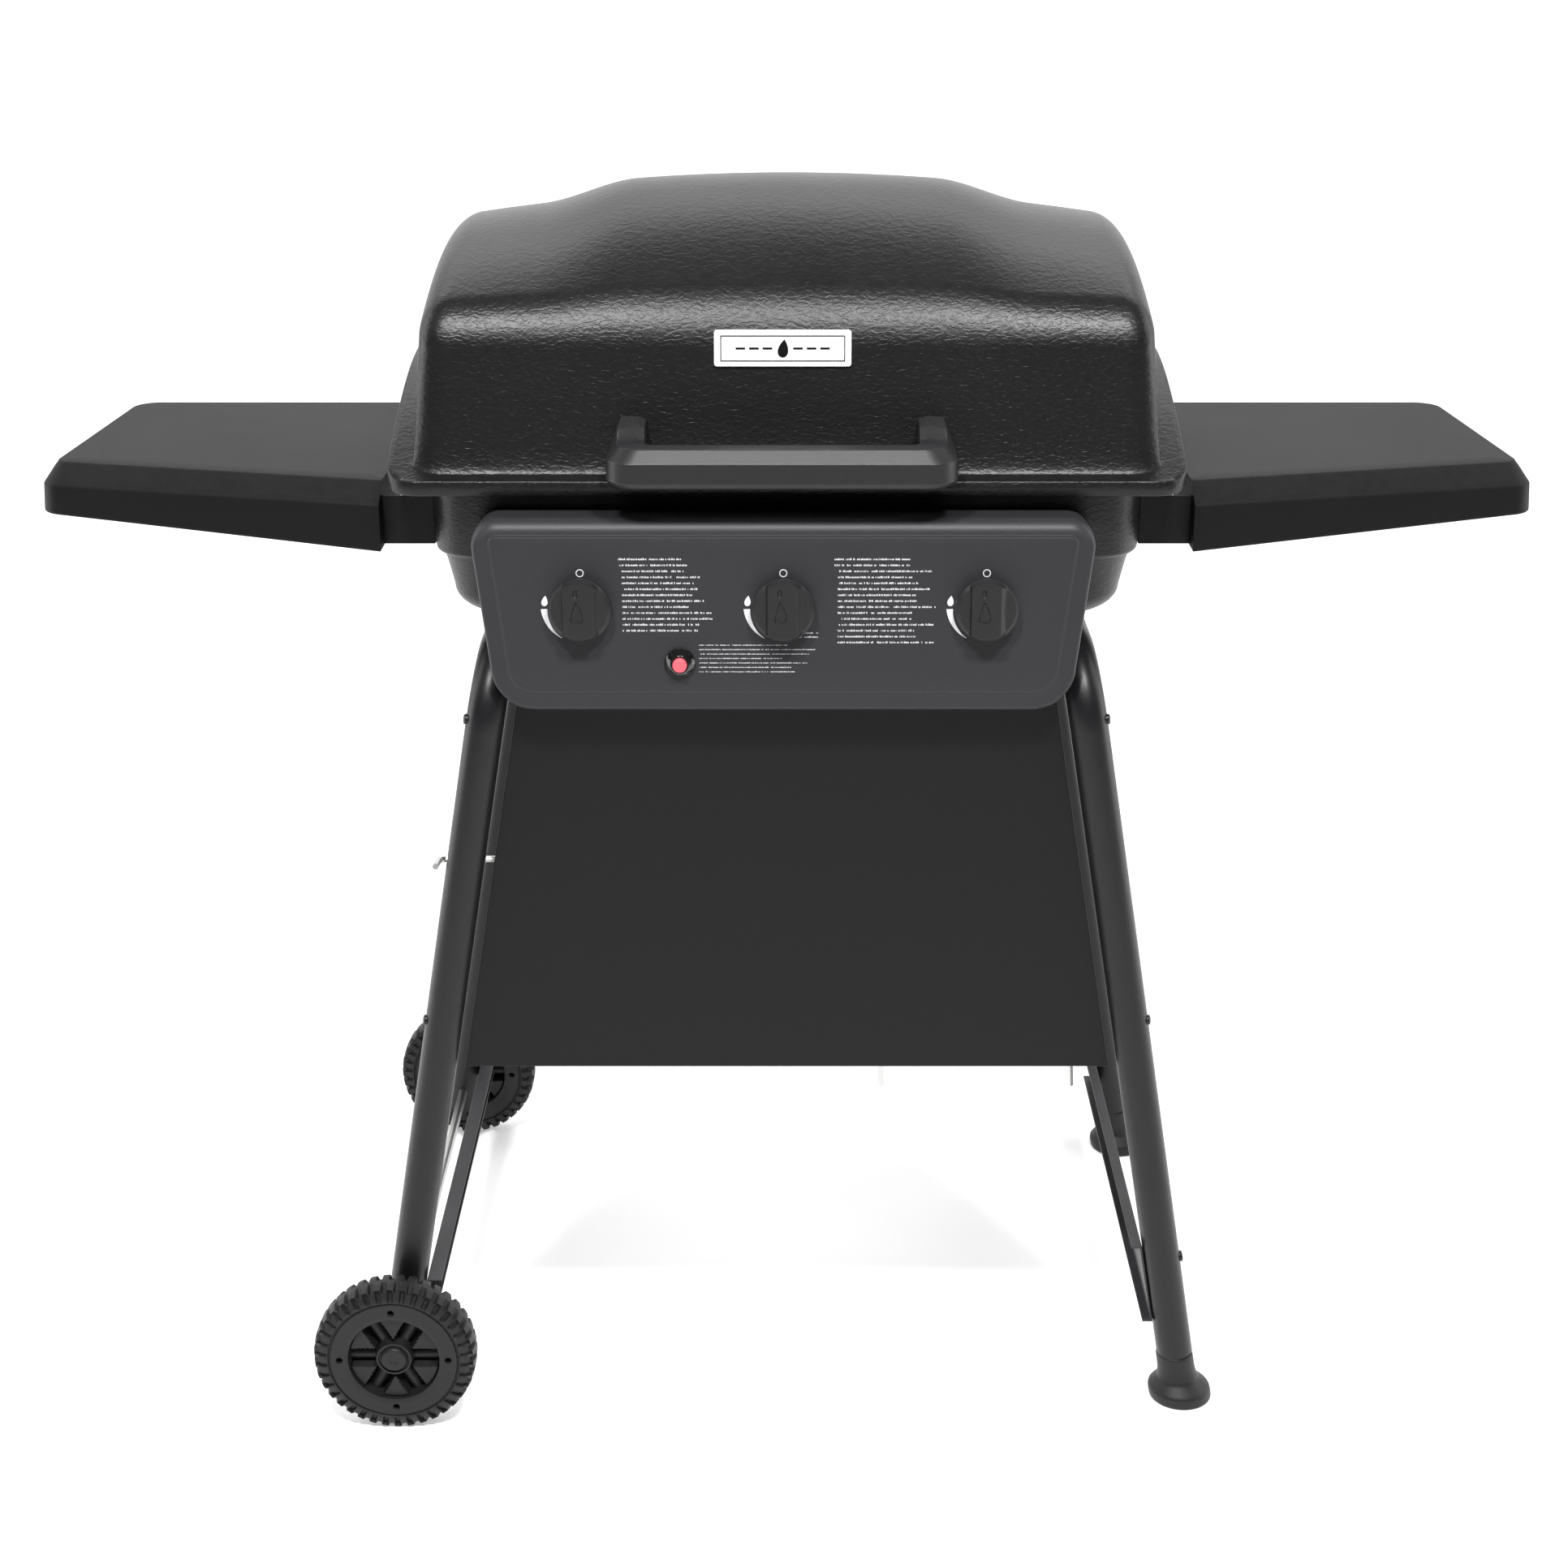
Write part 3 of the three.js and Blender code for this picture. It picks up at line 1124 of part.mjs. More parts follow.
// ---------------------------------------------------------------- grease cup
function addGreaseCup() {
  const wall = cupSheet;
  const lip = cupLip;
  const low = cupTopZ - cupHeight;
  add('grease_cup', turned([[0, low], [cupRadius, low], [cupRadius, cupTopZ - wall],
    [cupRadius + lip, cupTopZ - wall], [cupRadius + lip, cupTopZ], [cupRadius - wall, cupTopZ],
    [cupRadius - wall, low + wall], [0, low + wall]], 18), brightSteel);
  const ringTop = cupTopZ - wall - gap;
  const ringIn = cupRadius + runGap;
  const ringOut = cupRadius + clipRing;
  const ring = turned([[ringIn, ringTop - clipRing], [ringOut, ringTop - clipRing], [ringOut, ringTop],
    [ringIn, ringTop], [ringIn, ringTop - clipRing]], 18);
  const top = fireboxFloorZ - gap;
  const hanger = join(
    box(ringOut, ringOut + 3, -clipHalf, clipHalf, ringTop - clipRing, top),
    box(ringOut, ringOut + 20, -clipHalf, clipHalf, top - 1.5, top),
    box(ringOut - 2, ringOut + 1, -clipHalf, clipHalf, ringTop - clipRing, ringTop));
  const hangers = [hanger, hanger.mirror([1, 0, 0])];
  add('grease_cup_clip', join(ring, ...hangers), brightSteel);
}

addCart();
addWheels();
addFirebox();
addLid();
addHandle();
addBadge();
addHinges();
addWarmingRack();
addBail();
addControlPanel();
addKnobsAndValves();
addIgniter();
addBurners();
addGrates();
addShelves();
addGreaseCup();

export default grill;
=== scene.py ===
"""Looks of a three-burner gas barbecue grill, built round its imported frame.

Every shape is worked out as whole arrays on a grid: a ring or profile in one direction, a
path or a stack of rings in the other. Lengths are in metres, X to the right, Y to the back,
Z up.
"""
import json
import math

import bmesh
import bpy
import numpy as np
from mathutils import Euler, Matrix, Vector

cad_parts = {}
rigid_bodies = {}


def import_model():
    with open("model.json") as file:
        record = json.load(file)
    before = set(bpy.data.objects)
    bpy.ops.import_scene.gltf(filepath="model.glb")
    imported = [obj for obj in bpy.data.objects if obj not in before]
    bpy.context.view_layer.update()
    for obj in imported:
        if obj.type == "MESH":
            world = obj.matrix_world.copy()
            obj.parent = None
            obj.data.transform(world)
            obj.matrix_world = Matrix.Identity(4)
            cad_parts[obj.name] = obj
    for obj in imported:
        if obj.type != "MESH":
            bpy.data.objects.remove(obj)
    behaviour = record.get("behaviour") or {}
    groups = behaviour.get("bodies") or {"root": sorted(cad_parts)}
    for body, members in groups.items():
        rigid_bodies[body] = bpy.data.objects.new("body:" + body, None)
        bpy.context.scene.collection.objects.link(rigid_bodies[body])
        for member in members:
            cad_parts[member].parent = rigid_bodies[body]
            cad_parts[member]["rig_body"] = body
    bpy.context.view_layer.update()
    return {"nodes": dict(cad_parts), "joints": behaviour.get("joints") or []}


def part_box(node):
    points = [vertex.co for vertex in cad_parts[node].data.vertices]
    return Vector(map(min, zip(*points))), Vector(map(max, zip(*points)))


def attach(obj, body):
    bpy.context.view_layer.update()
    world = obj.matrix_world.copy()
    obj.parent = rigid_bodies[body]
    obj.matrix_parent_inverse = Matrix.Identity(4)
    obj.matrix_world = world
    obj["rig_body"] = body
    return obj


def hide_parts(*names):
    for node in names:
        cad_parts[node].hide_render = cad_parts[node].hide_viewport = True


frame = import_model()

bl_info = {
    "name": "Gas Barbecue Grill",
    "version": (1, 0, 0),
    "blender": (4, 5, 0),
    "location": "3D View > Sidebar > Grill",
    "description": "Builds the visible surfaces of a three-burner gas grill",
    "category": "Add Mesh",
}

MM = 0.001
MERGE_WITHIN = 2e-6             # points closer than this become one
MARK_DEPTH = 0.12 * MM          # of printed and engraved marks
SIDES = (("left", -1), ("right", 1))
ENDS = (("front", -1), ("rear", 1))
BURNERS = (("left", -1), ("middle", 0), ("right", 1))


def low(node):
    """Lowest corner of a CAD node."""
    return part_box(node)[0]


def high(node):
    """Highest corner of a CAD node."""
    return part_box(node)[1]


# ---------------------------------------------------------------- arrays and meshes
def smooth_step(value, start, end):
    """0 before start, 1 after end, and 3t^2 - 2t^3 between them."""
    t = np.clip((value - start) / (end - start), 0.0, 1.0)
    return t * t * (3.0 - 2.0 * t)


def smooth_min(a, b, width):
    """The smaller of two surfaces, rounded over width where they meet."""
    h = np.clip(width - np.abs(a - b), 0.0, None) / width
    return np.minimum(a, b) - h * h * width / 4.0


def smooth_max(a, b, width):
    """The larger of two surfaces, rounded over width where they meet."""
    return -smooth_min(-a, -b, width)


def grid_faces(rows, columns, ring=True, tube=False):
    """Quads between neighbours of a grid of points, row by row. A ring joins its last column to
    its first, and a tube its last row to its first."""
    i = np.arange(rows if tube else rows - 1)[:, None]
    j = np.arange(columns if ring else columns - 1)[None, :]
    right, down = (j + 1) % columns, (i + 1) % rows
    quads = (i * columns + j, down * columns + j, down * columns + right, i * columns + right)
    return np.stack([q + 0 * (i + j) for q in quads], axis=-1).reshape(-1, 4)


def array_mesh(name, points, faces, dissolve=True):
    """A mesh from arrays: equal points are merged, edges without length are dissolved if
    wanted, and faces are turned outwards."""
    mesh = bpy.data.meshes.new(name)
    mesh.from_pydata(np.asarray(points).reshape(-1, 3).tolist(), [], np.asarray(faces).tolist())
    work = bmesh.new()
    work.from_mesh(mesh)
    bmesh.ops.remove_doubles(work, verts=work.verts, dist=MERGE_WITHIN)
    if dissolve:
        bmesh.ops.dissolve_degenerate(work, edges=work.edges, dist=1e-7)
    bmesh.ops.recalc_face_normals(work, faces=work.faces)
    work.to_mesh(mesh)
    work.free()
    return mesh


def make_piece(name, points, faces, *finish, **more):
    """One piece from arrays; the rest is what finish_piece takes."""
    return finish_piece(name, array_mesh(name, points, faces), *finish, **more)


def finish_piece(name, mesh, material, body, slot, replaces=(), sharp=35.0):
    """Makes a piece of a mesh: smoothed up to an angle, riding on a body, and standing for the
    CAD nodes that it replaces."""
    mesh.shade_smooth()
    mesh.set_sharp_from_angle(angle=math.radians(sharp))
    mesh.materials.append(material)
    piece = bpy.data.objects.new(name, mesh)
    bpy.context.scene.collection.objects.link(piece)
    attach(piece, body)
    if replaces:
        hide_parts(*replaces)
    return piece


def joined(parts):
    """Points and faces of several (points, faces) pairs as one pair of lists."""
    points, faces, start = [], [], 0
    for part_points, part_faces in parts:
        flat = np.asarray(part_points).reshape(-1, 3)
        points.append(flat)
        faces.extend((np.asarray(part_faces) + start).tolist())
        start += len(flat)
    return np.concatenate(points), faces


def make_joined(name, parts, *finish, **more):
    """One piece of several separate closed surfaces."""
    return finish_piece(name, array_mesh(name, *joined(parts), dissolve=False), *finish, **more)


def soften(piece, width, segments=3, angle=30.0):
    """Rounds a piece's creases with a Bevel modifier."""
    bevel = piece.modifiers.new("rounded edges", "BEVEL")
    bevel.width = width
    bevel.segments = segments
    bevel.limit_method = "ANGLE"
    bevel.angle_limit = math.radians(angle)
    bevel.harden_normals = True
    bevel.use_clamp_overlap = True
    return piece


def soft_copy(node, material, slot, width=0.5 * MM, segments=2, sharp=40.0):
    """A copy of a CAD node whose flat faces are merged and whose edges are rounded."""
    source = frame["nodes"][node]
    mesh = source.data.copy()
    mesh.name = node + "_finished"
    mesh.materials.clear()
    work = bmesh.new()
    work.from_mesh(mesh)
    bmesh.ops.remove_doubles(work, verts=work.verts, dist=5e-6)
    bmesh.ops.dissolve_limit(work, angle_limit=math.radians(1.0), verts=work.verts,
                             edges=work.edges)
    work.to_mesh(mesh)
    work.free()
    piece = finish_piece(mesh.name, mesh, material, source["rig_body"], slot, (node,), sharp)
    if width > 0.0:
        soften(piece, width, segments)
    return piece


def axis_frame(axis):
    """Two unit vectors across a unit axis."""
    axis = np.asarray(axis, float) / np.linalg.norm(axis)
    other = np.array([1.0, 0.0, 0.0]) if abs(axis[0]) < 0.9 else np.array([0.0, 1.0, 0.0])
    across = np.cross(axis, other)
    across /= np.linalg.norm(across)
    return axis, across, np.cross(axis, across)


def lathe(profile, centre, axis=(0, 0, 1), count=64):
    """A profile of (radius, height) turned about an axis: centre + height * axis +
    radius * (cos u * across + sin u * up)."""
    profile = np.asarray(profile, float)
    axis, across, up = axis_frame(axis)
    u = np.linspace(0.0, 2 * np.pi, count, endpoint=False)
    spokes = np.cos(u)[:, None] * across + np.sin(u)[:, None] * up
    points = (np.asarray(centre, float) + profile[:, 1, None, None] * axis
              + profile[:, 0, None, None] * spokes)
    return points, grid_faces(len(profile), count)


def rounded_profile(corners, radius, steps=5):
    """A (radius, height) profile whose inner corners become short arcs: each is a quadratic
    curve between points at a set distance before and after the corner."""
    corners = np.asarray(corners, float)
    before, here, after = corners[:-2], corners[1:-1], corners[2:]
    to_before = before - here
    to_after = after - here
    length_before = np.linalg.norm(to_before, axis=1, keepdims=True)
    length_after = np.linalg.norm(to_after, axis=1, keepdims=True)
    start = here + to_before * np.minimum(radius / length_before, 0.45)
    end = here + to_after * np.minimum(radius / length_after, 0.45)
    t = np.linspace(0.0, 1.0, steps)[None, :, None]
    curve = ((1 - t) ** 2 * start[:, None] + 2 * t * (1 - t) * here[:, None]
             + t ** 2 * end[:, None])
    return np.concatenate([corners[:1], curve.reshape(-1, corners.shape[1]), corners[-1:]])


def tube(path, radius, normal, count=32, wall=0.0, plug=0.0):
    """A round tube along a path in a plane: path + radius * (cos u * normal + sin u * side),
    where side is across the path in its plane. The ends close, sunk by plug if it is open."""
    path = np.asarray(path, float)
    tangent = np.gradient(path, axis=0)
    tangent /= np.linalg.norm(tangent, axis=1, keepdims=True)
    normal = np.asarray(normal, float) / np.linalg.norm(normal)
    side = np.cross(tangent, normal)
    side /= np.linalg.norm(side, axis=1, keepdims=True)
    u = np.linspace(0.0, 2 * np.pi, count, endpoint=False)
    across = np.cos(u)[None, :, None] * normal + np.sin(u)[None, :, None] * side[:, None, :]
    rings = path[:, None, :] + radius * across

    def end_rings(index, sign):
        centre, spoke = path[index], across[index]
        inner = centre + (radius - wall) * spoke
        sunk = inner + sign * plug * tangent[index]
        pole = np.repeat((centre + sign * plug * tangent[index])[None], count, axis=0)
        return [inner, sunk, pole]

    first = end_rings(0, 1)[::-1]
    last = end_rings(-1, -1)
    rows = np.concatenate([np.stack(first), rings, np.stack(last)])
    return rows, grid_faces(len(rows), count)


def rounded_ring(x0, x1, y0, y1, radius, corner=14, along_x=40, along_y=26):
    """A rounded rectangle as a closed ring of points: four quarter circles joined by evenly
    divided straight runs, starting on the right at the back."""
    quarter = np.linspace(0.0, np.pi / 2, corner)
    centres = np.array([(x1 - radius, y1 - radius), (x0 + radius, y1 - radius),
                        (x0 + radius, y0 + radius), (x1 - radius, y0 + radius)])
    turns = np.arange(4)[:, None] * np.pi / 2 + quarter[None, :]
    arcs = centres[:, None, :] + radius * np.stack([np.cos(turns), np.sin(turns)], axis=-1)
    runs = []
    for turn in range(4):
        start, end = arcs[turn, -1], arcs[(turn + 1) % 4, 0]
        count = along_x if turn % 2 == 0 else along_y
        t = np.linspace(0.0, 1.0, count + 2)[1:-1, None]
        runs.extend([arcs[turn], start + (end - start) * t])
    return np.concatenate(runs)


def raised(ring, z):
    """A flat ring of (x, y) points at a height, which may differ from point to point."""
    return np.column_stack([ring, np.broadcast_to(z, len(ring))])


def spread_rows(dense, rows, turning):
    """Rows chosen along dense profiles, one profile per column: they are spaced by length plus
    turning times the angle that the profile turns through."""
    step = np.diff(dense, axis=0)
    length = np.linalg.norm(step, axis=2)
    unit = step / np.maximum(length, 1e-12)[..., None]
    dot = np.clip(np.sum(unit[1:] * unit[:-1], axis=2), -1.0, 1.0)
    start = np.zeros((1, dense.shape[1]))
    bend = np.concatenate([start, np.arccos(dot)])
    total = np.concatenate([start, np.cumsum(length + turning * bend, axis=0)])
    wanted = np.linspace(0.0, 1.0, rows)
    chosen = np.empty((rows, dense.shape[1], 3))
    for column in range(dense.shape[1]):
        along = total[:, column] / total[-1, column]
        for axis in range(3):
            chosen[:, column, axis] = np.interp(wanted, along, dense[:, column, axis])
    return chosen


def capsule(centre, radius, height, axis, dome=0.45, count=20):
    """A dome-headed fastener seen from outside: a low rim and a rounded crown."""
    crown = [(radius * math.cos(a), height * (1 - dome) + height * dome * math.sin(a))
             for a in np.linspace(0.0, math.pi / 2, 6)]
    return lathe([(0.0, -height * 0.4), (radius, -height * 0.4), *crown], centre, axis, count)


# ---------------------------------------------------------------- settings
def length(name, description, default):
    """A length property in metres."""
    return bpy.props.FloatProperty(name=name, description=description, default=default,
                                   min=0.0, unit="LENGTH", subtype="DISTANCE", precision=5)


def colour(name, description, default):
    """A colour property."""
    return bpy.props.FloatVectorProperty(name=name, description=description, default=default,
                                         size=3, min=0.0, max=1.0, subtype="COLOR")


def factor(name, description, default, top=1.0):
    """A plain number property."""
    return bpy.props.FloatProperty(name=name, description=description, default=default,
                                   min=0.0, max=top, subtype="FACTOR")


class GrillFinishes(bpy.types.PropertyGroup):
    """Colours and gloss of the grill's materials."""

    cast: colour("Cast paint", "Paint on the firebox and the lid", (0.0052, 0.0050, 0.0054))
    cast_gloss: factor("Cast roughness", "Roughness of the paint on castings", 0.36)
    sheet: colour("Sheet paint", "Paint on sheet steel", (0.0050, 0.0048, 0.0053))
    sheet_gloss: factor("Sheet roughness", "Roughness of the paint on sheet steel", 0.46)
    panel: colour("Panel paint", "Paint on the control panel", (0.0215, 0.0205, 0.0232))
    tube: colour("Tube paint", "Paint on the legs", (0.0062, 0.0058, 0.0068))
    tube_gloss: factor("Tube roughness", "Roughness of the paint on the legs", 0.36)
    shelf: colour("Shelf plastic", "Moulded side shelves", (0.0040, 0.0039, 0.0041))
    moulded: colour("Moulded plastic", "Shelves, wheels and feet", (0.0105, 0.0100, 0.0108))
    moulded_gloss: factor("Plastic roughness", "Roughness of the moulded plastic", 0.50)
    grip: colour("Grip plastic", "Handle and knobs", (0.0120, 0.0116, 0.0126))
    grip_gloss: factor("Grip roughness", "Roughness of the handle and knobs", 0.42)
    button: colour("Button", "Igniter button", (0.62, 0.10, 0.13))
    ink: colour("Print", "Printed marks on the panel", (0.62, 0.62, 0.64))


class GrillLid(bpy.types.PropertyGroup):
    """Sizes of the lid and firebox."""

    wall: length("Wall", "Thickness of the castings", 3.0 * MM)
    flange_x: length("Side flange", "Reach of the lid's flange past its side walls", 22.5 * MM)
    flange_front: length("Front flange", "Reach of the flange past the front wall", 17.0 * MM)
    flange_rear: length("Rear flange", "Reach of the flange past the rear wall", 14.0 * MM)
    flange_thickness: length("Flange thickness", "Thickness of the flange", 4.0 * MM)
    flange_corner: length("Flange corner", "Corner radius of the flange", 28.0 * MM)
    lip: length("Lip", "Depth of the lip below the parting line", 9.0 * MM)
    lip_wall: length("Lip wall", "Thickness of the lip", 3.3 * MM)
    fillet: length("Fillet", "Height over which a wall runs out into the flange", 34.0 * MM)
    parting_rise: length("Parting rise", "Rise of the parting line to the back", 70.0 * MM)
    parting_run: length("Parting run", "Length over which the parting line rises", 255.0 * MM)
    crown_half: length("Crown", "Half width of the raised middle", 137.0 * MM)
    crown_ease: length("Crown ease", "Width over which the crown falls", 91.0 * MM)
    crown_fall: length("Crown fall", "Height of the crown over the sides", 15.0 * MM)
    notch_x: length("Hinge place", "Distance of each hinge from the middle", 200.0 * MM)
    notch_half: length("Notch", "Half width of the notch for a hinge", 24.0 * MM)


class GrillPanel(bpy.types.PropertyGroup):
    """Sizes of the control panel and knobs."""

    lean: bpy.props.FloatProperty(name="Lean", description="How far the face looks up",
                                  default=0.0742, subtype="ANGLE", unit="ROTATION")
    pitch: length("Knob pitch", "Distance between knobs", 172.7 * MM)
    half_top: length("Half width at top", "Half the panel's width at its top", 268.0 * MM)
    half_bottom: length("Half width at bottom", "Half the width at its bottom", 247.0 * MM)
    above: length("Above the knobs", "From the knob axes up to the top edge", 75.0 * MM)
    below: length("Below the knobs", "From the knob axes down to the bottom edge", 91.0 * MM)
    corner: length("Lower corner", "Radius of the lower corners", 38.0 * MM)
    shoulder: length("Upper corner", "Radius of the upper corners", 22.0 * MM)
    border: length("Border", "Width of the border round the raised field", 15.0 * MM)
    rise: length("Field rise", "How far the field stands proud", 3.0 * MM)
    rim: length("Rim", "Depth of the rim below the legs' tops", 14.0 * MM)
    depth: length("Depth", "Depth of the box above the legs", 55.0 * MM)
    knob_radius: length("Knob radius", "Radius of a knob's skirt", 27.0 * MM)
    knob_depth: length("Knob depth", "Height of a knob's grip", 13.0 * MM)
    skirt: length("Skirt", "Height of a knob's skirt", 7.5 * MM)
    stand_off: length("Stand-off", "From the field to the knob's back", 6.0 * MM)


class GrillShelf(bpy.types.PropertyGroup):
    """Sizes of the side shelves."""

    chamfer_reach: length("Chamfer reach", "Forward reach of the front chamfer", 25.0 * MM)
    chamfer_drop: length("Chamfer drop", "Height of the front chamfer", 17.0 * MM)
    inner_drop: length("Inner drop", "Depth of the apron at the grill", 58.0 * MM)
    outer_drop: length("Outer drop", "Depth of the rim at the tip", 42.0 * MM)
    side_drop: length("Side drop", "Depth of the rim at the back", 36.0 * MM)
    wall: length("Wall", "Thickness of the moulding", 3.0 * MM)
    corner: length("Corner", "Radius of the outer corners", 24.0 * MM)
    front_corner: length("Front corner", "Radius of the tip", 13.0 * MM)
    taper: length("Taper", "Inward run of the outer edge to the back", 15.0 * MM)
    flare: length("Flare", "Outward run of the chamfer's lower edge", 9.0 * MM)
    edge: length("Edge", "Rounding of the top's edges", 2.6 * MM)


class GrillCart(bpy.types.PropertyGroup):
    """Sizes of the cart."""

    leg_radius: length("Leg radius", "Outer radius of the leg tubes", 17.0 * MM)
    leg_wall: length("Leg wall", "Wall of the leg tubes", 1.6 * MM)
    leg_bend: length("Leg bend", "Bend radius of the leg tubes", 60.0 * MM)
    lean: bpy.props.FloatProperty(name="Lean", description="Sideways run of a leg per rise",
                                  default=0.1715, min=0.0, max=1.0)
    tread_blocks: bpy.props.IntProperty(name="Tread blocks", description="Blocks in each row",
                                        default=38, min=8, max=80)
    tread_depth: length("Tread depth", "Depth of the grooves between blocks", 4.2 * MM)
    spokes: bpy.props.IntProperty(name="Spokes", description="Spokes of a wheel", default=6,
                                  min=3, max=12)
    hub_radius: length("Hub radius", "Radius of the collar round the axle", 16.5 * MM)
    web_radius: length("Web radius", "Radius of the recess with the spokes", 43.0 * MM)


class GrillStage(bpy.types.PropertyGroup):
    """Floor, lights and camera."""

    floor: colour("Floor", "Colour of the floor", (0.86, 0.86, 0.86))
    power: bpy.props.FloatProperty(name="Softbox power", description="Power of the large lights",
                                   default=60.0, min=0.0, unit="POWER")
    surround: factor("Surround", "Brightness of the studio's walls", 0.12, 4.0)
    glow: factor("Glow", "Light given off by the floor and backdrop", 0.34, 4.0)
    lens: bpy.props.FloatProperty(name="Lens", description="Focal length in millimetres",
                                  default=57.55, min=10.0, max=200.0)
    distance: length("Distance", "From the grill's middle to the camera", 2.3169)
    eye: length("Eye height", "Height of the camera", 1.40656)
    tilt: bpy.props.FloatProperty(name="Tilt", description="How far the camera looks down",
                                  default=math.radians(20.586), subtype="ANGLE", unit="ROTATION")


# ---------------------------------------------------------------- shared shader effects
class Nodes:
    """Short ways to add and join shader nodes in one tree."""

    def __init__(self, tree):
        self.tree = tree

    def add(self, kind, inputs=None, **settings):
        """A node with its settings, and values or links for its inputs."""
        node = self.tree.nodes.new(kind)
        for key, value in settings.items():
            setattr(node, key, value)
        for key, value in (inputs or {}).items():
            if isinstance(value, bpy.types.NodeSocket):
                self.tree.links.new(value, node.inputs[key])
            else:
                node.inputs[key].default_value = value
        return node

    def math(self, operation, a, b=0.0):
        """One sum."""
        return self.add("ShaderNodeMath", {0: a, 1: b}, operation=operation).outputs[0]

    def group(self, tree, inputs):
        """A node group with its inputs."""
        return self.add("ShaderNodeGroup", inputs, node_tree=tree)


def new_group(name, inputs, outputs):
    """An empty node group with named inputs and outputs."""
    tree = bpy.data.node_groups.new(name, "ShaderNodeTree")
    for socket, kind in inputs:
        tree.interface.new_socket(name=socket, in_out="INPUT", socket_type=kind)
    for socket, kind in outputs:
        tree.interface.new_socket(name=socket, in_out="OUTPUT", socket_type=kind)
    nodes = Nodes(tree)
    return tree, nodes, tree.nodes.new("NodeGroupInput"), tree.nodes.new("NodeGroupOutput")


def wrinkle_group():
    """Orange peel: stretched, distorted noise with finer noise over it, as a height."""
    tree, n, given, result = new_group(
        "Wrinkle", [("Vector", "NodeSocketVector"), ("Scale", "NodeSocketFloat"),
                    ("Slant", "NodeSocketFloat")], [("Height", "NodeSocketFloat")])
    angle = n.add("ShaderNodeCombineXYZ", {"Y": given.outputs["Slant"]})
    turned = n.add("ShaderNodeMapping", {"Vector": given.outputs["Vector"],
                                         "Rotation": angle.outputs[0], "Scale": (1.0, 1.0, 2.1)})
    coarse = n.add("ShaderNodeTexNoise", {"Vector": turned.outputs[0],
                                          "Scale": given.outputs["Scale"],
                                          "Detail": 1.5, "Roughness": 0.45, "Distortion": 0.7})
    fine_scale = n.math("MULTIPLY", given.outputs["Scale"], 3.3)
    fine = n.add("ShaderNodeTexNoise", {"Vector": given.outputs["Vector"], "Scale": fine_scale,
                                        "Detail": 2.0, "Roughness": 0.5})
    ridge = n.add("ShaderNodeMapRange", {"Value": coarse.outputs["Fac"], "From Min": 0.36,
                                         "From Max": 0.66}, interpolation_type="SMOOTHSTEP")
    height = n.math("ADD", ridge.outputs[0], n.math("MULTIPLY", fine.outputs["Fac"], 0.35))
    tree.links.new(height, result.inputs["Height"])
    return tree


def grain_group():
    """Fine moulded or sprayed grain as a height, from two layers of noise."""
    tree, n, given, result = new_group(
        "Grain", [("Vector", "NodeSocketVector"), ("Scale", "NodeSocketFloat")],
        [("Height", "NodeSocketFloat")])
    pits = n.add("ShaderNodeTexVoronoi", {"Vector": given.outputs["Vector"],
                                          "Scale": given.outputs["Scale"]}, feature="SMOOTH_F1")
    noise = n.add("ShaderNodeTexNoise", {"Vector": given.outputs["Vector"],
                                         "Scale": n.math("MULTIPLY", given.outputs["Scale"], 1.7),
                                         "Detail": 2.0})
    height = n.math("ADD", n.math("MULTIPLY", pits.outputs["Distance"], 0.7), noise.outputs["Fac"])
    tree.links.new(height, result.inputs["Height"])
    return tree


def variation_group():
    """Colour and roughness that drift slowly over a surface, with faint dust on what looks up."""
    tree, n, given, result = new_group(
        "Variation", [("Vector", "NodeSocketVector"), ("Colour", "NodeSocketColor"),
                      ("Roughness", "NodeSocketFloat"), ("Amount", "NodeSocketFloat"),
                      ("Dust", "NodeSocketFloat")],
        [("Colour", "NodeSocketColor"), ("Roughness", "NodeSocketFloat")])
    slow = n.add("ShaderNodeTexNoise", {"Vector": given.outputs["Vector"], "Scale": 7.0,
                                        "Detail": 4.0, "Roughness": 0.6})
    quick = n.add("ShaderNodeTexNoise", {"Vector": given.outputs["Vector"], "Scale": 90.0,
                                         "Detail": 3.0, "Roughness": 0.6})
    drift = n.math("ADD", n.math("MULTIPLY", slow.outputs["Fac"], 0.7),
                   n.math("MULTIPLY", quick.outputs["Fac"], 0.3))
    swing = n.math("SUBTRACT", drift, 0.5)
    bright = n.math("ADD", 1.0, n.math("MULTIPLY", swing, given.outputs["Amount"]))
    varied = n.add("ShaderNodeVectorMath", {0: given.outputs["Colour"], 3: bright},
                   operation="SCALE")
    facing = n.add("ShaderNodeSeparateXYZ",
                   {0: n.add("ShaderNodeNewGeometry").outputs["Normal"]}).outputs["Z"]
    upward = n.add("ShaderNodeMapRange", {"Value": facing, "From Min": 0.5, "From Max": 1.0})
    specks = n.add("ShaderNodeMapRange", {"Value": quick.outputs["Fac"], "From Min": 0.35,
                                          "From Max": 0.75})
    mask = n.math("MULTIPLY", n.math("MULTIPLY", upward.outputs[0], specks.outputs[0]),
                  given.outputs["Dust"])
    dusty = n.add("ShaderNodeMix", {0: mask, 6: varied.outputs[0], 7: DUST_COLOUR},
                  data_type="RGBA")
    rough = n.math("ADD", given.outputs["Roughness"],
                   n.math("MULTIPLY", swing, n.math("MULTIPLY", given.outputs["Amount"], 0.3)))
    tree.links.new(dusty.outputs[2], result.inputs["Colour"])
    tree.links.new(rough, result.inputs["Roughness"])
    return tree


GROUPS = {}
MATERIALS = {}
DUST_COLOUR = (0.16, 0.155, 0.15, 1.0)
PEEL_SLANT = math.radians(-38.0)


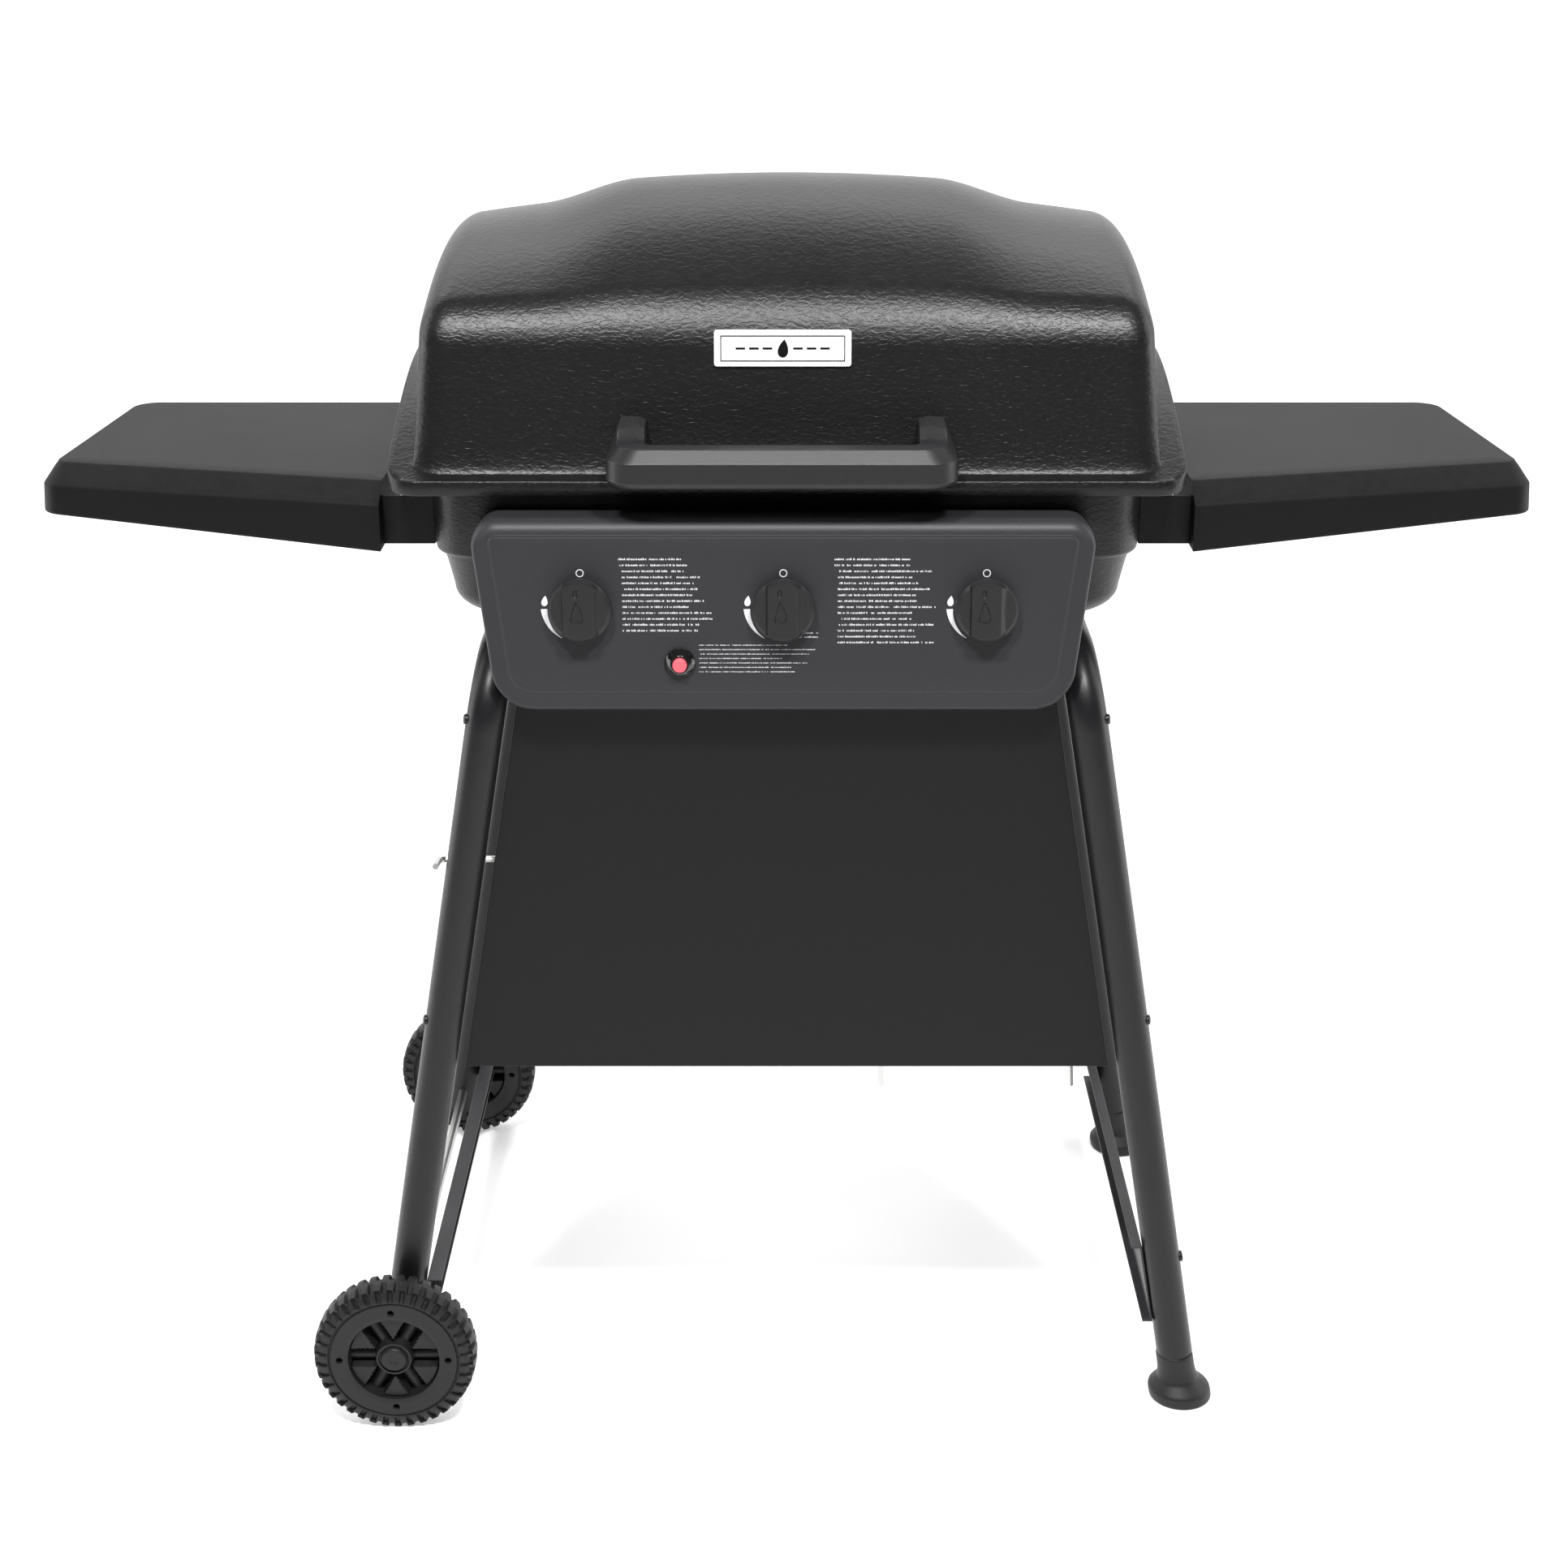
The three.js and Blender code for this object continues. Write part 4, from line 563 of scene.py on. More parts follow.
def shared(name):
    """A shared node group, built once."""
    makers = {"wrinkle": wrinkle_group, "grain": grain_group, "variation": variation_group}
    if name not in GROUPS:
        GROUPS[name] = makers[name]()
    return GROUPS[name]


def surface(name, base, roughness, metallic=0.0, grain=None, wrinkle=None, vary=0.35, dust=0.0,
            coat=0.0, specular=0.5):
    """A material: varied colour and roughness, and a bump of grain or wrinkles. Grain and
    wrinkle are (scale, height in metres)."""
    if name in MATERIALS:
        return MATERIALS[name]
    material = bpy.data.materials.new(name)
    material.use_nodes = True
    n = Nodes(material.node_tree)
    shader = material.node_tree.nodes["Principled BSDF"]
    shader.inputs["Metallic"].default_value = metallic
    shader.inputs["Specular IOR Level"].default_value = specular
    shader.inputs["Coat Weight"].default_value = coat
    place = n.add("ShaderNodeTexCoord").outputs["Object"]
    varied = n.group(shared("variation"), {"Vector": place, "Colour": (*base, 1.0),
                                           "Roughness": roughness, "Amount": vary, "Dust": dust})
    link = material.node_tree.links.new
    link(varied.outputs["Colour"], shader.inputs["Base Color"])
    link(varied.outputs["Roughness"], shader.inputs["Roughness"])
    normal = None
    for kind, values in (("wrinkle", wrinkle), ("grain", grain)):
        if values:
            inputs = {"Vector": place, "Scale": values[0]}
            if kind == "wrinkle":
                inputs["Slant"] = PEEL_SLANT
            height = n.group(shared(kind), inputs).outputs["Height"]
            bump = n.add("ShaderNodeBump", {"Height": height, "Distance": values[1],
                                            "Strength": 1.0})
            if normal:
                link(normal, bump.inputs["Normal"])
            normal = bump.outputs["Normal"]
    if normal:
        link(normal, shader.inputs["Normal"])
    MATERIALS[name] = material
    return material


def cast_paint():
    s = bpy.context.scene.grill_finishes
    return surface("cast_paint", s.cast, s.cast_gloss, wrinkle=(170.0, 0.13 * MM),
                   grain=(900.0, 0.03 * MM), vary=0.3, dust=0.02, specular=0.3)


def sheet_paint():
    s = bpy.context.scene.grill_finishes
    return surface("sheet_paint", s.sheet, s.sheet_gloss, grain=(620.0, 0.05 * MM), vary=0.25,
                   dust=0.02, specular=0.2)


def panel_paint():
    s = bpy.context.scene.grill_finishes
    return surface("panel_paint", s.panel, s.sheet_gloss, grain=(620.0, 0.05 * MM), vary=0.25,
                   specular=0.3)


def tube_paint():
    s = bpy.context.scene.grill_finishes
    return surface("tube_paint", s.tube, s.tube_gloss, grain=(700.0, 0.035 * MM), vary=0.3,
                   specular=0.3)


def moulded_plastic():
    s = bpy.context.scene.grill_finishes
    return surface("moulded_plastic", s.moulded, s.moulded_gloss, grain=(1500.0, 0.05 * MM),
                   vary=0.35, dust=0.03, specular=0.3)


def shelf_plastic():
    s = bpy.context.scene.grill_finishes
    return surface("shelf_plastic", s.shelf, 0.56, grain=(1500.0, 0.04 * MM), vary=0.3,
                   dust=0.03, specular=0.16)


def grip_plastic():
    s = bpy.context.scene.grill_finishes
    return surface("grip_plastic", s.grip, s.grip_gloss, grain=(1300.0, 0.06 * MM), vary=0.4,
                   specular=0.38)


def plain_steel():
    return surface("plain_steel", (0.55, 0.55, 0.54), 0.32, metallic=1.0, vary=0.25,
                   grain=(800.0, 0.02 * MM))


def burner_steel():
    return surface("burner_steel", (0.36, 0.34, 0.31), 0.42, metallic=1.0, vary=0.9,
                   grain=(400.0, 0.03 * MM))


def brass():
    return surface("brass", (0.52, 0.38, 0.16), 0.34, metallic=1.0, vary=0.4,
                   grain=(700.0, 0.02 * MM))


def enamel():
    return surface("enamel", (0.008, 0.008, 0.009), 0.2, coat=0.4, vary=0.5,
                   wrinkle=(120.0, 0.05 * MM))


def gloss_plastic():
    return surface("gloss_plastic", (0.004, 0.004, 0.0045), 0.1, coat=0.5, vary=0.3)


def button_plastic():
    s = bpy.context.scene.grill_finishes
    return surface("button_plastic", s.button, 0.35, coat=0.2, vary=0.2,
                   grain=(900.0, 0.02 * MM))


def brushed_plate():
    """Aluminium brushed along X: noise stretched to long thin lines."""
    name = "brushed_plate"
    if name in MATERIALS:
        return MATERIALS[name]
    material = surface(name, (0.90, 0.90, 0.91), 0.36, metallic=0.45, vary=0.12)
    n = Nodes(material.node_tree)
    shader = material.node_tree.nodes["Principled BSDF"]
    place = n.add("ShaderNodeTexCoord").outputs["Object"]
    lines = n.add("ShaderNodeMapping", {"Vector": place, "Scale": (12.0, 900.0, 900.0)})
    brushed = n.add("ShaderNodeTexNoise", {"Vector": lines.outputs[0], "Scale": 4.0,
                                           "Detail": 3.0})
    bump = n.add("ShaderNodeBump", {"Height": brushed.outputs["Fac"], "Distance": 0.03 * MM})
    material.node_tree.links.new(bump.outputs["Normal"], shader.inputs["Normal"])
    return material


def ceramic():
    return surface("ceramic", (0.74, 0.71, 0.64), 0.28, coat=0.3, vary=0.15)


def print_ink():
    s = bpy.context.scene.grill_finishes
    return surface("print_ink", s.ink, 0.55, vary=0.2, grain=(1500.0, 0.01 * MM))


# ---------------------------------------------------------------- lid and firebox
LID_LOW, LID_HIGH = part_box("lid")
FIREBOX_LOW, FIREBOX_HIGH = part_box("firebox")
WALL_STEEPNESS = 6.9
SIDE_STEEPNESS = 18.0
TOP_CURVE = 1.85
CROWN_BOW = 0.27
CROWN_FADE = 0.8
CROWN_FADE_RUN = 200.0 * MM
TOP_Y = 32.0 * MM
LID_TOP = LID_HIGH.z + 0.9 * MM
SHOULDER_DROP = 32.0 * MM
SHOULDER_REACH = 28.5 * MM
CORNER_POWER = 2.6

# Outlines of the firebox as half width, front, rear and corner radius, with how much the
# rounding of the bowl and of the ledge adds to each, and heights over its floor.
FLOOR_OUTLINE = np.array([266.0, -152.0, 152.0, 34.0]) * MM
BOWL_GROWTH = np.array([33.0, -27.0, 28.0, 10.0]) * MM
BOWL_RISE = 26.0 * MM
UNDER_LEDGE_OUTLINE = np.array([303.5, -186.0, 189.0, 45.0]) * MM
UNDER_LEDGE_RISE = 50.0 * MM
LEDGE_OUTLINE = np.array([306.0, -191.0, 194.0, 46.0]) * MM
LEDGE_GROWTH = np.array([5.0, -9.0, 9.0, 0.0]) * MM
LEDGE_RISE = 60.7 * MM
LEDGE_ROUNDING = 6.0 * MM
MOUTH_OUTLINE = np.array([312.5, -201.5, 203.8, 46.0]) * MM
DRAIN_RADIUS = 18.0 * MM


def parting(y, lid):
    """Height of the joint of lid and firebox: low at the front, up a quarter sine to the back."""
    t = np.clip((y - FIREBOX_LOW.y) / lid.parting_run, 0.0, 1.0)
    return LID_LOW.z + lid.lip + lid.parting_rise * np.sin(np.pi / 2 * t)


def lid_height(x, y, inset, lid):
    """Height of the lid: leaning walls that round over into a domed top with a raised middle.
    Over the shoulder it is top - drop * (1 - sqrt(1 - q * q)), where q joins how far the point
    is into the side's and the end's rounding."""
    base = LID_LOW.z + lid.lip + lid.flange_thickness
    x = np.abs(x)
    fall = CROWN_BOW * x * x + lid.crown_fall * smooth_step(x, lid.crown_half,
                                                            lid.crown_half + lid.crown_ease)
    fade = 1.0 - CROWN_FADE * ((y - TOP_Y) / CROWN_FADE_RUN) ** 2
    top = LID_TOP - inset - TOP_CURVE * (y - TOP_Y) ** 2 - fall * fade
    spring = top - SHOULDER_DROP
    side = LID_HIGH.x - lid.flange_x - inset - x
    end = np.minimum(y - LID_LOW.y - lid.flange_front, LID_HIGH.y - lid.flange_rear - y) - inset

    def over(distance, steepness):
        inside = distance - (spring - base) / steepness
        return np.clip(1.0 - inside / SHOULDER_REACH, 0.0, None) ** CORNER_POWER

    q = (over(side, SIDE_STEEPNESS) + over(end, WALL_STEEPNESS)) ** (1.0 / CORNER_POWER)
    rounded = top - SHOULDER_DROP * (1.0 - np.sqrt(np.clip(1.0 - q * q, 0.0, None)))
    walls = np.minimum(base + WALL_STEEPNESS * end, base + SIDE_STEEPNESS * side)
    corner = spring - (q - 1.0) * SHOULDER_REACH * WALL_STEEPNESS
    return np.where(q < 1.0, rounded, np.minimum(corner, walls))


def lid_skin(ring, floor, inset, lid, rows):
    """Rows from a ring up and over the lid to its middle: every column is a straight line in
    plan, and its height is the lid's or the floor's, whichever is higher, with a fillet."""
    middle = np.array([0.0, (LID_LOW.y + LID_HIGH.y) / 2])
    share = np.linspace(1.0, 0.0, 900)[:, None, None]
    plan = middle + share * (ring[None] - middle)
    x, y = plan[..., 0], plan[..., 1]
    height = smooth_max(lid_height(x, y, inset, lid), floor(y), lid.fillet)
    return spread_rows(np.dstack([x, y, height]), rows, 60.0 * MM)


def build_lid(lid):
    """The lid: outer skin, edge, lip and inner skin as one closed surface."""
    x1, y0, y1 = LID_HIGH.x, LID_LOW.y, LID_HIGH.y
    edge, notch_rest, notch_lip = 1.1 * MM, 3.0 * MM, 0.5 * MM

    def ring(inset):
        return rounded_ring(inset - x1, x1 - inset, y0 + inset, y1 - inset,
                            lid.flange_corner - inset, 14, 110, 60)

    outline, inner = ring(0.0), ring(lid.lip_wall)
    by_hinge = np.abs(np.abs(outline[:, 0]) - lid.notch_x) < lid.notch_half
    notch = by_hinge & (outline[:, 1] > y1 - 2 * MM)
    for line in (outline, inner):
        line[notch, 1] -= lid.flange_rear - notch_rest
    joint = parting(outline[:, 1], lid)
    top = joint + lid.flange_thickness
    foot = joint - np.where(notch, notch_lip, lid.lip)
    inward = np.array([0.0, (y0 + y1) / 2]) - outline
    shrink = outline + inward / np.linalg.norm(inward, axis=1)[:, None] * edge
    outer = lid_skin(shrink, lambda y: parting(y, lid) + lid.flange_thickness, 0.0, lid, 150)
    inside = lid_skin(inner, lambda y: parting(y, lid), lid.wall, lid, 90)
    rows = np.concatenate([
        outer[::-1],
        [raised(outline, top - edge)],
        [raised(outline, foot + edge * 0.6)],
        [raised(shrink, foot)],
        [raised(inner, foot)],
        inside,
    ])
    make_piece("lid_shell", rows, grid_faces(len(rows), len(outline)), cast_paint(), "lid",
               "cast_black", ("lid",), sharp=60.0)


def firebox_levels():
    """Levels of the firebox as (outline, height): a bowl that rounds out from the floor, a
    rounded ledge, and steep walls up to the rim."""
    floor = FIREBOX_LOW.z
    turns = np.linspace(0.0, np.pi / 2, 9)
    bowl = [(FLOOR_OUTLINE + BOWL_GROWTH * math.sin(a), floor + BOWL_RISE * (1 - math.cos(a)))
            for a in turns]
    ledge = [(LEDGE_OUTLINE + LEDGE_GROWTH * math.sin(a),
              floor + LEDGE_RISE + LEDGE_ROUNDING * (1 - math.cos(a))) for a in turns]
    return bowl + [(UNDER_LEDGE_OUTLINE, floor + UNDER_LEDGE_RISE)] + ledge


def build_firebox(lid):
    """The firebox: bowl, step, walls, rim and inside as one closed surface with a drain."""
    wall = lid.wall
    rim_gap, rim_depth = 0.3 * MM, 4.3 * MM

    def ring(half, front, rear, radius, inset=0.0):
        return rounded_ring(inset - half, half - inset, front + inset, rear - inset,
                            radius - inset * 0.5, 12, 60, 36)

    def below_joint(outline, drop):
        return raised(outline, parting(outline[:, 1], lid) - drop)

    levels = firebox_levels()
    hole = ring(DRAIN_RADIUS, -DRAIN_RADIUS, DRAIN_RADIUS, DRAIN_RADIUS)
    rim = ring(FIREBOX_HIGH.x, FIREBOX_LOW.y, FIREBOX_HIGH.y, lid.flange_corner)
    rows = [raised(hole, FIREBOX_LOW.z)]
    rows += [raised(ring(*outline), z) for outline, z in levels]
    rows += [below_joint(ring(*MOUTH_OUTLINE), rim_depth), below_joint(rim, rim_depth),
             below_joint(rim, rim_gap), below_joint(ring(*MOUTH_OUTLINE, wall), rim_gap)]
    rows += [raised(ring(*outline, wall), z + wall) for outline, z in levels[::-1]]
    rows.append(raised(hole, FIREBOX_LOW.z + wall))
    rows = np.stack(rows)
    make_piece("firebox_shell", rows, grid_faces(len(rows), rows.shape[1], tube=True),
               cast_paint(), "cart", "cast_black", ("firebox",), sharp=50.0)


class GRILL_OT_castings(bpy.types.Operator):
    """Builds the lid and the firebox"""

    bl_idname = "grill.castings"
    bl_label = "Lid and firebox"

    def execute(self, context):
        build_lid(context.scene.grill_lid)
        build_firebox(context.scene.grill_lid)
        pivot_x, pivot_y = high("warming_rack").x + 0.2 * MM, 140.0 * MM
        pivot_z, wall_slope = low("warming_rack").z + 59.0 * MM, 0.144
        rivets = [capsule((side * pivot_x, pivot_y, pivot_z), 5.5 * MM, 2.2 * MM,
                          (side, 0, wall_slope)) for _, side in SIDES]
        make_joined("rack_rivets", rivets, plain_steel(), "lid", "bright_steel")
        return {"FINISHED"}


# ---------------------------------------------------------------- handle and badge
def handle_curve(x0, x1, front, root, corner, steps):
    """A U seen from above: back to front, a quarter circle, across, a quarter circle, back."""
    arc = np.linspace(0.0, np.pi / 2, steps)
    left = np.stack([x0 + corner - corner * np.cos(arc), front + corner - corner * np.sin(arc)], 1)
    right = left[::-1] * [-1, 1] + [x0 + x1, 0]
    arm = np.stack([np.full(steps, x0), np.linspace(root, front + corner, steps + 1)[:-1]], 1)
    bar = np.linspace(left[-1], right[0], steps + 2)[1:-1]
    return np.concatenate([arm, left, bar, right, (arm * [-1, 1] + [x0 + x1, 0])[::-1]])


def build_handle():
    """The handle: an outer and an inner U with a creased section between them. The arms' tops
    rise to the lid."""
    a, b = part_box("handle")
    steps = 22
    arm, bar, height, arm_rise = 32.0 * MM, 33.0 * MM, 32.0 * MM, 12.0 * MM
    root = b.y + 1.0 * MM
    outer = handle_curve(a.x, b.x, a.y, root, 24.0 * MM, steps)
    inner = handle_curve(a.x + arm, b.x - arm, a.y + bar, root, 15.0 * MM, steps)
    top = a.z + height + arm_rise * smooth_step(outer[:, 1], a.y + 22 * MM, a.y + 42 * MM)
    # share of the way inwards, lift in millimetres, and whether it is counted from the top
    section = np.array([(0.07, 0.0, 0), (0.0, 4.0, 0), (0.02, 21.0, 0), (0.30, 0.0, 1),
                        (0.80, 0.2, 1), (1.0, -2.6, 1), (1.0, 2.0, 0), (0.92, 0.0, 0)])
    rows = []
    for across, lift, from_top in section:
        plan = outer + across * (inner - outer)
        rows.append(raised(plan, (top if from_top else a.z) + lift * MM))
    rows = np.stack(rows, axis=1)
    ends = [np.repeat(rows[k].mean(axis=0)[None], len(section), axis=0) for k in (0, -1)]
    rows = np.concatenate([[ends[0]], rows, [ends[1]]])
    piece = make_piece("handle_grip", rows, grid_faces(len(rows), len(section)), grip_plastic(),
                       "lid", "handle_grey", ("handle",), sharp=22.0)
    soften(piece, 1.5 * MM, 3, 18.0)


def drop_outline(height, steps=18):
    """A flame as a plain drop: a circle below that draws in to a bent tip above."""
    u = np.linspace(0.0, 2 * np.pi, 2 * steps, endpoint=False)
    up = (1 - np.cos(u)) / 2
    half = 0.30 * np.sin(u) * (1 - up) ** 0.45 * 1.25
    return np.stack([(half + 0.10 * up ** 2) * height, (up - 0.5) * height], 1)


def flat_shape(outline):
    """A thin closed plate: an outline in (x, z) fanned from its middle, front and back."""
    outline = np.asarray(outline, float)
    count = len(outline)
    centre = np.repeat(outline.mean(axis=0)[None], count, axis=0)
    stack = ((centre, 0.0), (outline, 0.0), (outline, -MARK_DEPTH), (centre, -MARK_DEPTH))
    rows = np.stack([np.column_stack([ring[:, 0], np.full(count, y), ring[:, 1]])
                     for ring, y in stack])
    return rows, grid_faces(4, count)


def flat_bar(x0, x1, z0, z1):
    """A thin closed rectangle."""
    return flat_shape([(x0, z0), (x1, z0), (x1, z1), (x0, z1)])


def placed(part, origin, lean, offset=(0.0, 0.0, 0.0)):
    """A part made in a leaning panel's own frame, moved into place: turned about X by the lean,
    so that its face looks slightly up, then shifted to the origin."""
    points, faces = part
    local = np.asarray(points).reshape(-1, 3) + offset
    c, s = math.cos(lean), math.sin(lean)
    y = local[:, 1] * c + local[:, 2] * s
    z = -local[:, 1] * s + local[:, 2] * c
    return np.column_stack([local[:, 0], y, z]) + origin, faces


def build_badge():
    """The badge: the CAD plate with softened edges, a thin dark frame line and a plain drop."""
    a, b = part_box("badge_plate")
    soft_copy("badge_plate", brushed_plate(), "brushed_aluminium", 0.5 * MM, 3)
    lean = math.atan2(b.y - a.y - 2 * MM, b.z - a.z)
    origin = np.array([(a.x + b.x) / 2, a.y + (b.y - a.y - 2 * MM) / 2, (a.z + b.z) / 2])
    half_x, half_z, line = 53.0 * MM, 10.8 * MM, 0.7 * MM
    dash, dash_line, first_dash, dash_pitch = 4.0 * MM, 0.8 * MM, 13.0 * MM, 11.5 * MM
    bars = [flat_bar(-half_x, half_x, half_z - line, half_z),
            flat_bar(-half_x, half_x, -half_z, line - half_z),
            flat_bar(-half_x, line - half_x, -half_z, half_z),
            flat_bar(half_x - line, half_x, -half_z, half_z),
            flat_shape(drop_outline(15.0 * MM))]
    for side in (-1, 1):
        for step in range(3):
            x = side * (first_dash + dash_pitch * step)
            bars.append(flat_bar(x - dash, x + dash, -dash_line, dash_line))
    parts = [placed(bar, origin, lean, (0, -0.35 * MM, 0)) for bar in bars]
    make_joined("badge_marks", parts, gloss_plastic(), "lid", None)


class GRILL_OT_handle(bpy.types.Operator):
    """Builds the handle and the badge"""

    bl_idname = "grill.handle"
    bl_label = "Handle and badge"

    def execute(self, context):
        build_handle()
        build_badge()
        return {"FINISHED"}


# ---------------------------------------------------------------- control panel
PANEL_LOW, PANEL_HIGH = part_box("control_panel")
KNOB_LOW, KNOB_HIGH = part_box("knob_middle")


def panel_origin(panel):
    """Where the middle knob's axis meets the panel's border plane."""
    x = (KNOB_LOW.x + KNOB_HIGH.x) / 2
    turn = next(j for j in frame["joints"] if j["name"] == "knob_middle_turn")
    base = np.array(turn["pos_m"])
    inward = np.array([0.0, math.cos(panel.lean), -math.sin(panel.lean)])
    return np.array([x, base[1], base[2]]) + 15.0 * MM * inward


def panel_ring(panel, inset, top_inset=None, along=70):
    """The panel's outline drawn in by an inset, which may be another one at the top: straight
    leaning sides and four quarter circles."""
    top = panel.above - (inset if top_inset is None else top_inset)
    bottom = inset - panel.below
    spread = (panel.half_top - panel.half_bottom) / (panel.above + panel.below)

    def half(z):
        return panel.half_bottom + spread * (z + panel.below) - inset

    lower = np.maximum(panel.corner - inset, 1 * MM)
    upper = np.maximum(panel.shoulder - inset, 1 * MM)
    arc = np.linspace(0.0, np.pi / 2, 14)
    z_low, z_high = bottom + lower, top - upper
    low_arc = np.stack([half(z_low) - lower + lower * np.sin(arc),
                        z_low - lower * np.cos(arc)], 1)
    high_arc = np.stack([half(z_high) - upper + upper * np.cos(arc),
                         z_high + upper * np.sin(arc)], 1)
    right = np.concatenate([low_arc, np.linspace(low_arc[-1], high_arc[0], 22)[1:-1], high_arc])
    left = right[::-1] * [-1, 1]
    across_top = np.linspace(right[-1], left[0], along + 2)[1:-1]
    across_bottom = np.linspace(left[-1], right[0], along + 2)[1:-1]
    return np.concatenate([right, across_top, left, across_bottom])


def build_panel(panel):
    """The control panel: box, rounded front edge, border, a soft step up to the field, and the
    same again inside the sheet."""
    sheet, roll, step_wide, top_step = 1.2 * MM, 13.0 * MM, 5.0 * MM, 2.0 * MM
    outline, inner = panel_ring(panel, 0.0), panel_ring(panel, roll)
    over_legs = smooth_step(outline[:, 1], -37 * MM, -24 * MM)
    side = panel.rim + (panel.depth - panel.rim) * over_legs
    edge = 4.0 * MM + 9.0 * MM * smooth_step(outline[:, 1], 45.0 * MM, 72.0 * MM)

    def skin(extra):
        rows = [(panel_ring(panel, extra), side)]
        for a in np.linspace(0.0, np.pi / 2, 9):
            share = (edge * (1 - math.cos(a)) + extra)[:, None] / roll
            rows.append((outline + (inner - outline) * share, edge * (1 - math.sin(a)) + extra))
        for t in np.linspace(0.0, 1.0, 14):
            depth = extra - panel.rise * (3 * t * t - 2 * t ** 3)
            rows.append((panel_ring(panel, roll + step_wide * t, roll + top_step * t), depth))
        field = panel_ring(panel, roll + step_wide, roll + top_step)
        rows += [(field * share, extra - panel.rise) for share in (0.75, 0.5, 0.25, 0.0)]
        return [np.column_stack([ring[:, 0], np.broadcast_to(y, len(ring)), ring[:, 1]])
                for ring, y in rows]

    rows = np.stack(skin(0.0)[::-1] + skin(sheet))
    part = rows, grid_faces(len(rows), rows.shape[1])
    points, faces = placed(part, panel_origin(panel), panel.lean)
    make_piece("panel_shell", points, faces, panel_paint(), "cart", "sheet_black",
               ("control_panel",), sharp=50.0)


def knob_height(x, z, panel):
    """Height of a knob over its back: a skirt with a rounded edge, a grip band from top to
    bottom with a scoop on its right, a pressed slot mark and a pressed drop."""
    r = np.hypot(x, z)
    rim = panel.knob_radius
    skirt = panel.skirt - 2.0 * MM * smooth_step(r, rim - 3.5 * MM, rim)
    left, right = -15.0 * MM, 11.5 * MM
    band = smooth_step(x, left, left + 2.0 * MM)
    band = band * (1 - smooth_step(x, right - 1.2 * MM, right + 5.5 * MM))
    band = band * (1 - smooth_step(r, rim - 3.0 * MM, rim - 0.4 * MM))
    dish = 0.9 * MM * np.clip(1 - ((x + 2 * MM) / (13 * MM)) ** 2, 0, 1)
    top = panel.knob_depth - 0.2 * MM - dish
    height = skirt + (top - skirt) * band
    slot = (1 - smooth_step(np.abs(x + 3 * MM), 1.3 * MM, 1.9 * MM)) * (
        1 - smooth_step(np.abs(z - 15.5 * MM), 2.6 * MM, 3.3 * MM))
    tall = np.clip((z + 10.0 * MM) / (18.0 * MM), 0, 1)
    half = 5.8 * MM * np.sqrt(np.clip(np.sin(np.pi * tall ** 0.62), 0, 1)) * (1 - 0.55 * tall)
    off_middle = np.abs(x + 2.5 * MM - 2 * MM * tall * (1 - tall))
    drop = 1 - smooth_step(off_middle - half, -0.5 * MM, 0.5 * MM)
    drop = np.where((z < -10.0 * MM) | (z > 8.0 * MM), 0.0, drop)
    return height - 1.3 * MM * slot - 1.6 * MM * drop


def build_knobs(panel):
    """Each knob on rings round its axis, from the middle of its face to the middle of its back."""
    radii = np.linspace(0.0, 1.0, 62) ** 0.8 * (panel.knob_radius - 0.3 * MM)
    u = np.linspace(0.0, 2 * np.pi, 240, endpoint=False)
    x = radii[:, None] * np.cos(u)
    z = radii[:, None] * np.sin(u)
    face = np.dstack([x, -knob_height(x, z, panel), z])
    rim = panel.knob_radius
    outer = [(rim, 5.0 * MM), (rim, 0.8 * MM), (rim - 0.8 * MM, 0.0), (rim - 3 * MM, 0.0),
             (rim - 3 * MM, 3.0 * MM), (0.0, 3.0 * MM)]
    back = np.stack([np.column_stack([r * np.cos(u), np.full(len(u), -h), r * np.sin(u)])
                     for r, h in outer])
    rows = np.concatenate([face, back])
    origin = panel_origin(panel)
    base = -(panel.rise + panel.stand_off)
    for name, step in BURNERS:
        part = rows, grid_faces(len(rows), len(u))
        points, faces = placed(part, origin, panel.lean, (step * panel.pitch, base, 0.0))
        make_piece(f"knob_{name}_grip", points, faces, grip_plastic(), f"knob_{name}",
                   "handle_grey", (f"knob_{name}",), sharp=40.0)


def arc_wedge(radius, start, end, wide, narrow, steps=24):
    """A curved wedge: an arc whose width shrinks evenly from one end to the other."""
    a = np.radians(np.linspace(start, end, steps))
    width = np.linspace(wide, narrow, steps) / 2
    outer = np.stack([(radius + width) * np.cos(a), (radius + width) * np.sin(a)], 1)
    inner = np.stack([(radius - width) * np.cos(a), (radius - width) * np.sin(a)], 1)
    front = np.concatenate([outer, inner])
    points = np.concatenate([np.column_stack([front[:, 0], np.full(2 * steps, y), front[:, 1]])
                             for y in (0.0, -MARK_DEPTH)])
    i = np.arange(steps - 1)
    top = np.stack([i, i + 1, i + 1 + steps, i + steps], 1)
    rim_out = np.stack([i, i + 1, i + 1 + 2 * steps, i + 2 * steps], 1)
    ends = np.array([[k, k + steps, k + 3 * steps, k + 2 * steps] for k in (0, steps - 1)])
    return points, np.concatenate([top, top + 2 * steps, rim_out, rim_out + steps, ends])


def ring_mark(radius, width):
    """A thin flat ring."""
    inner, outer = radius - width / 2, radius + width / 2
    return lathe([(inner, 0.0), (outer, 0.0), (outer, MARK_DEPTH), (inner, MARK_DEPTH),
                  (inner, 0.0)], (0, 0, 0), (0, -1, 0), 40)


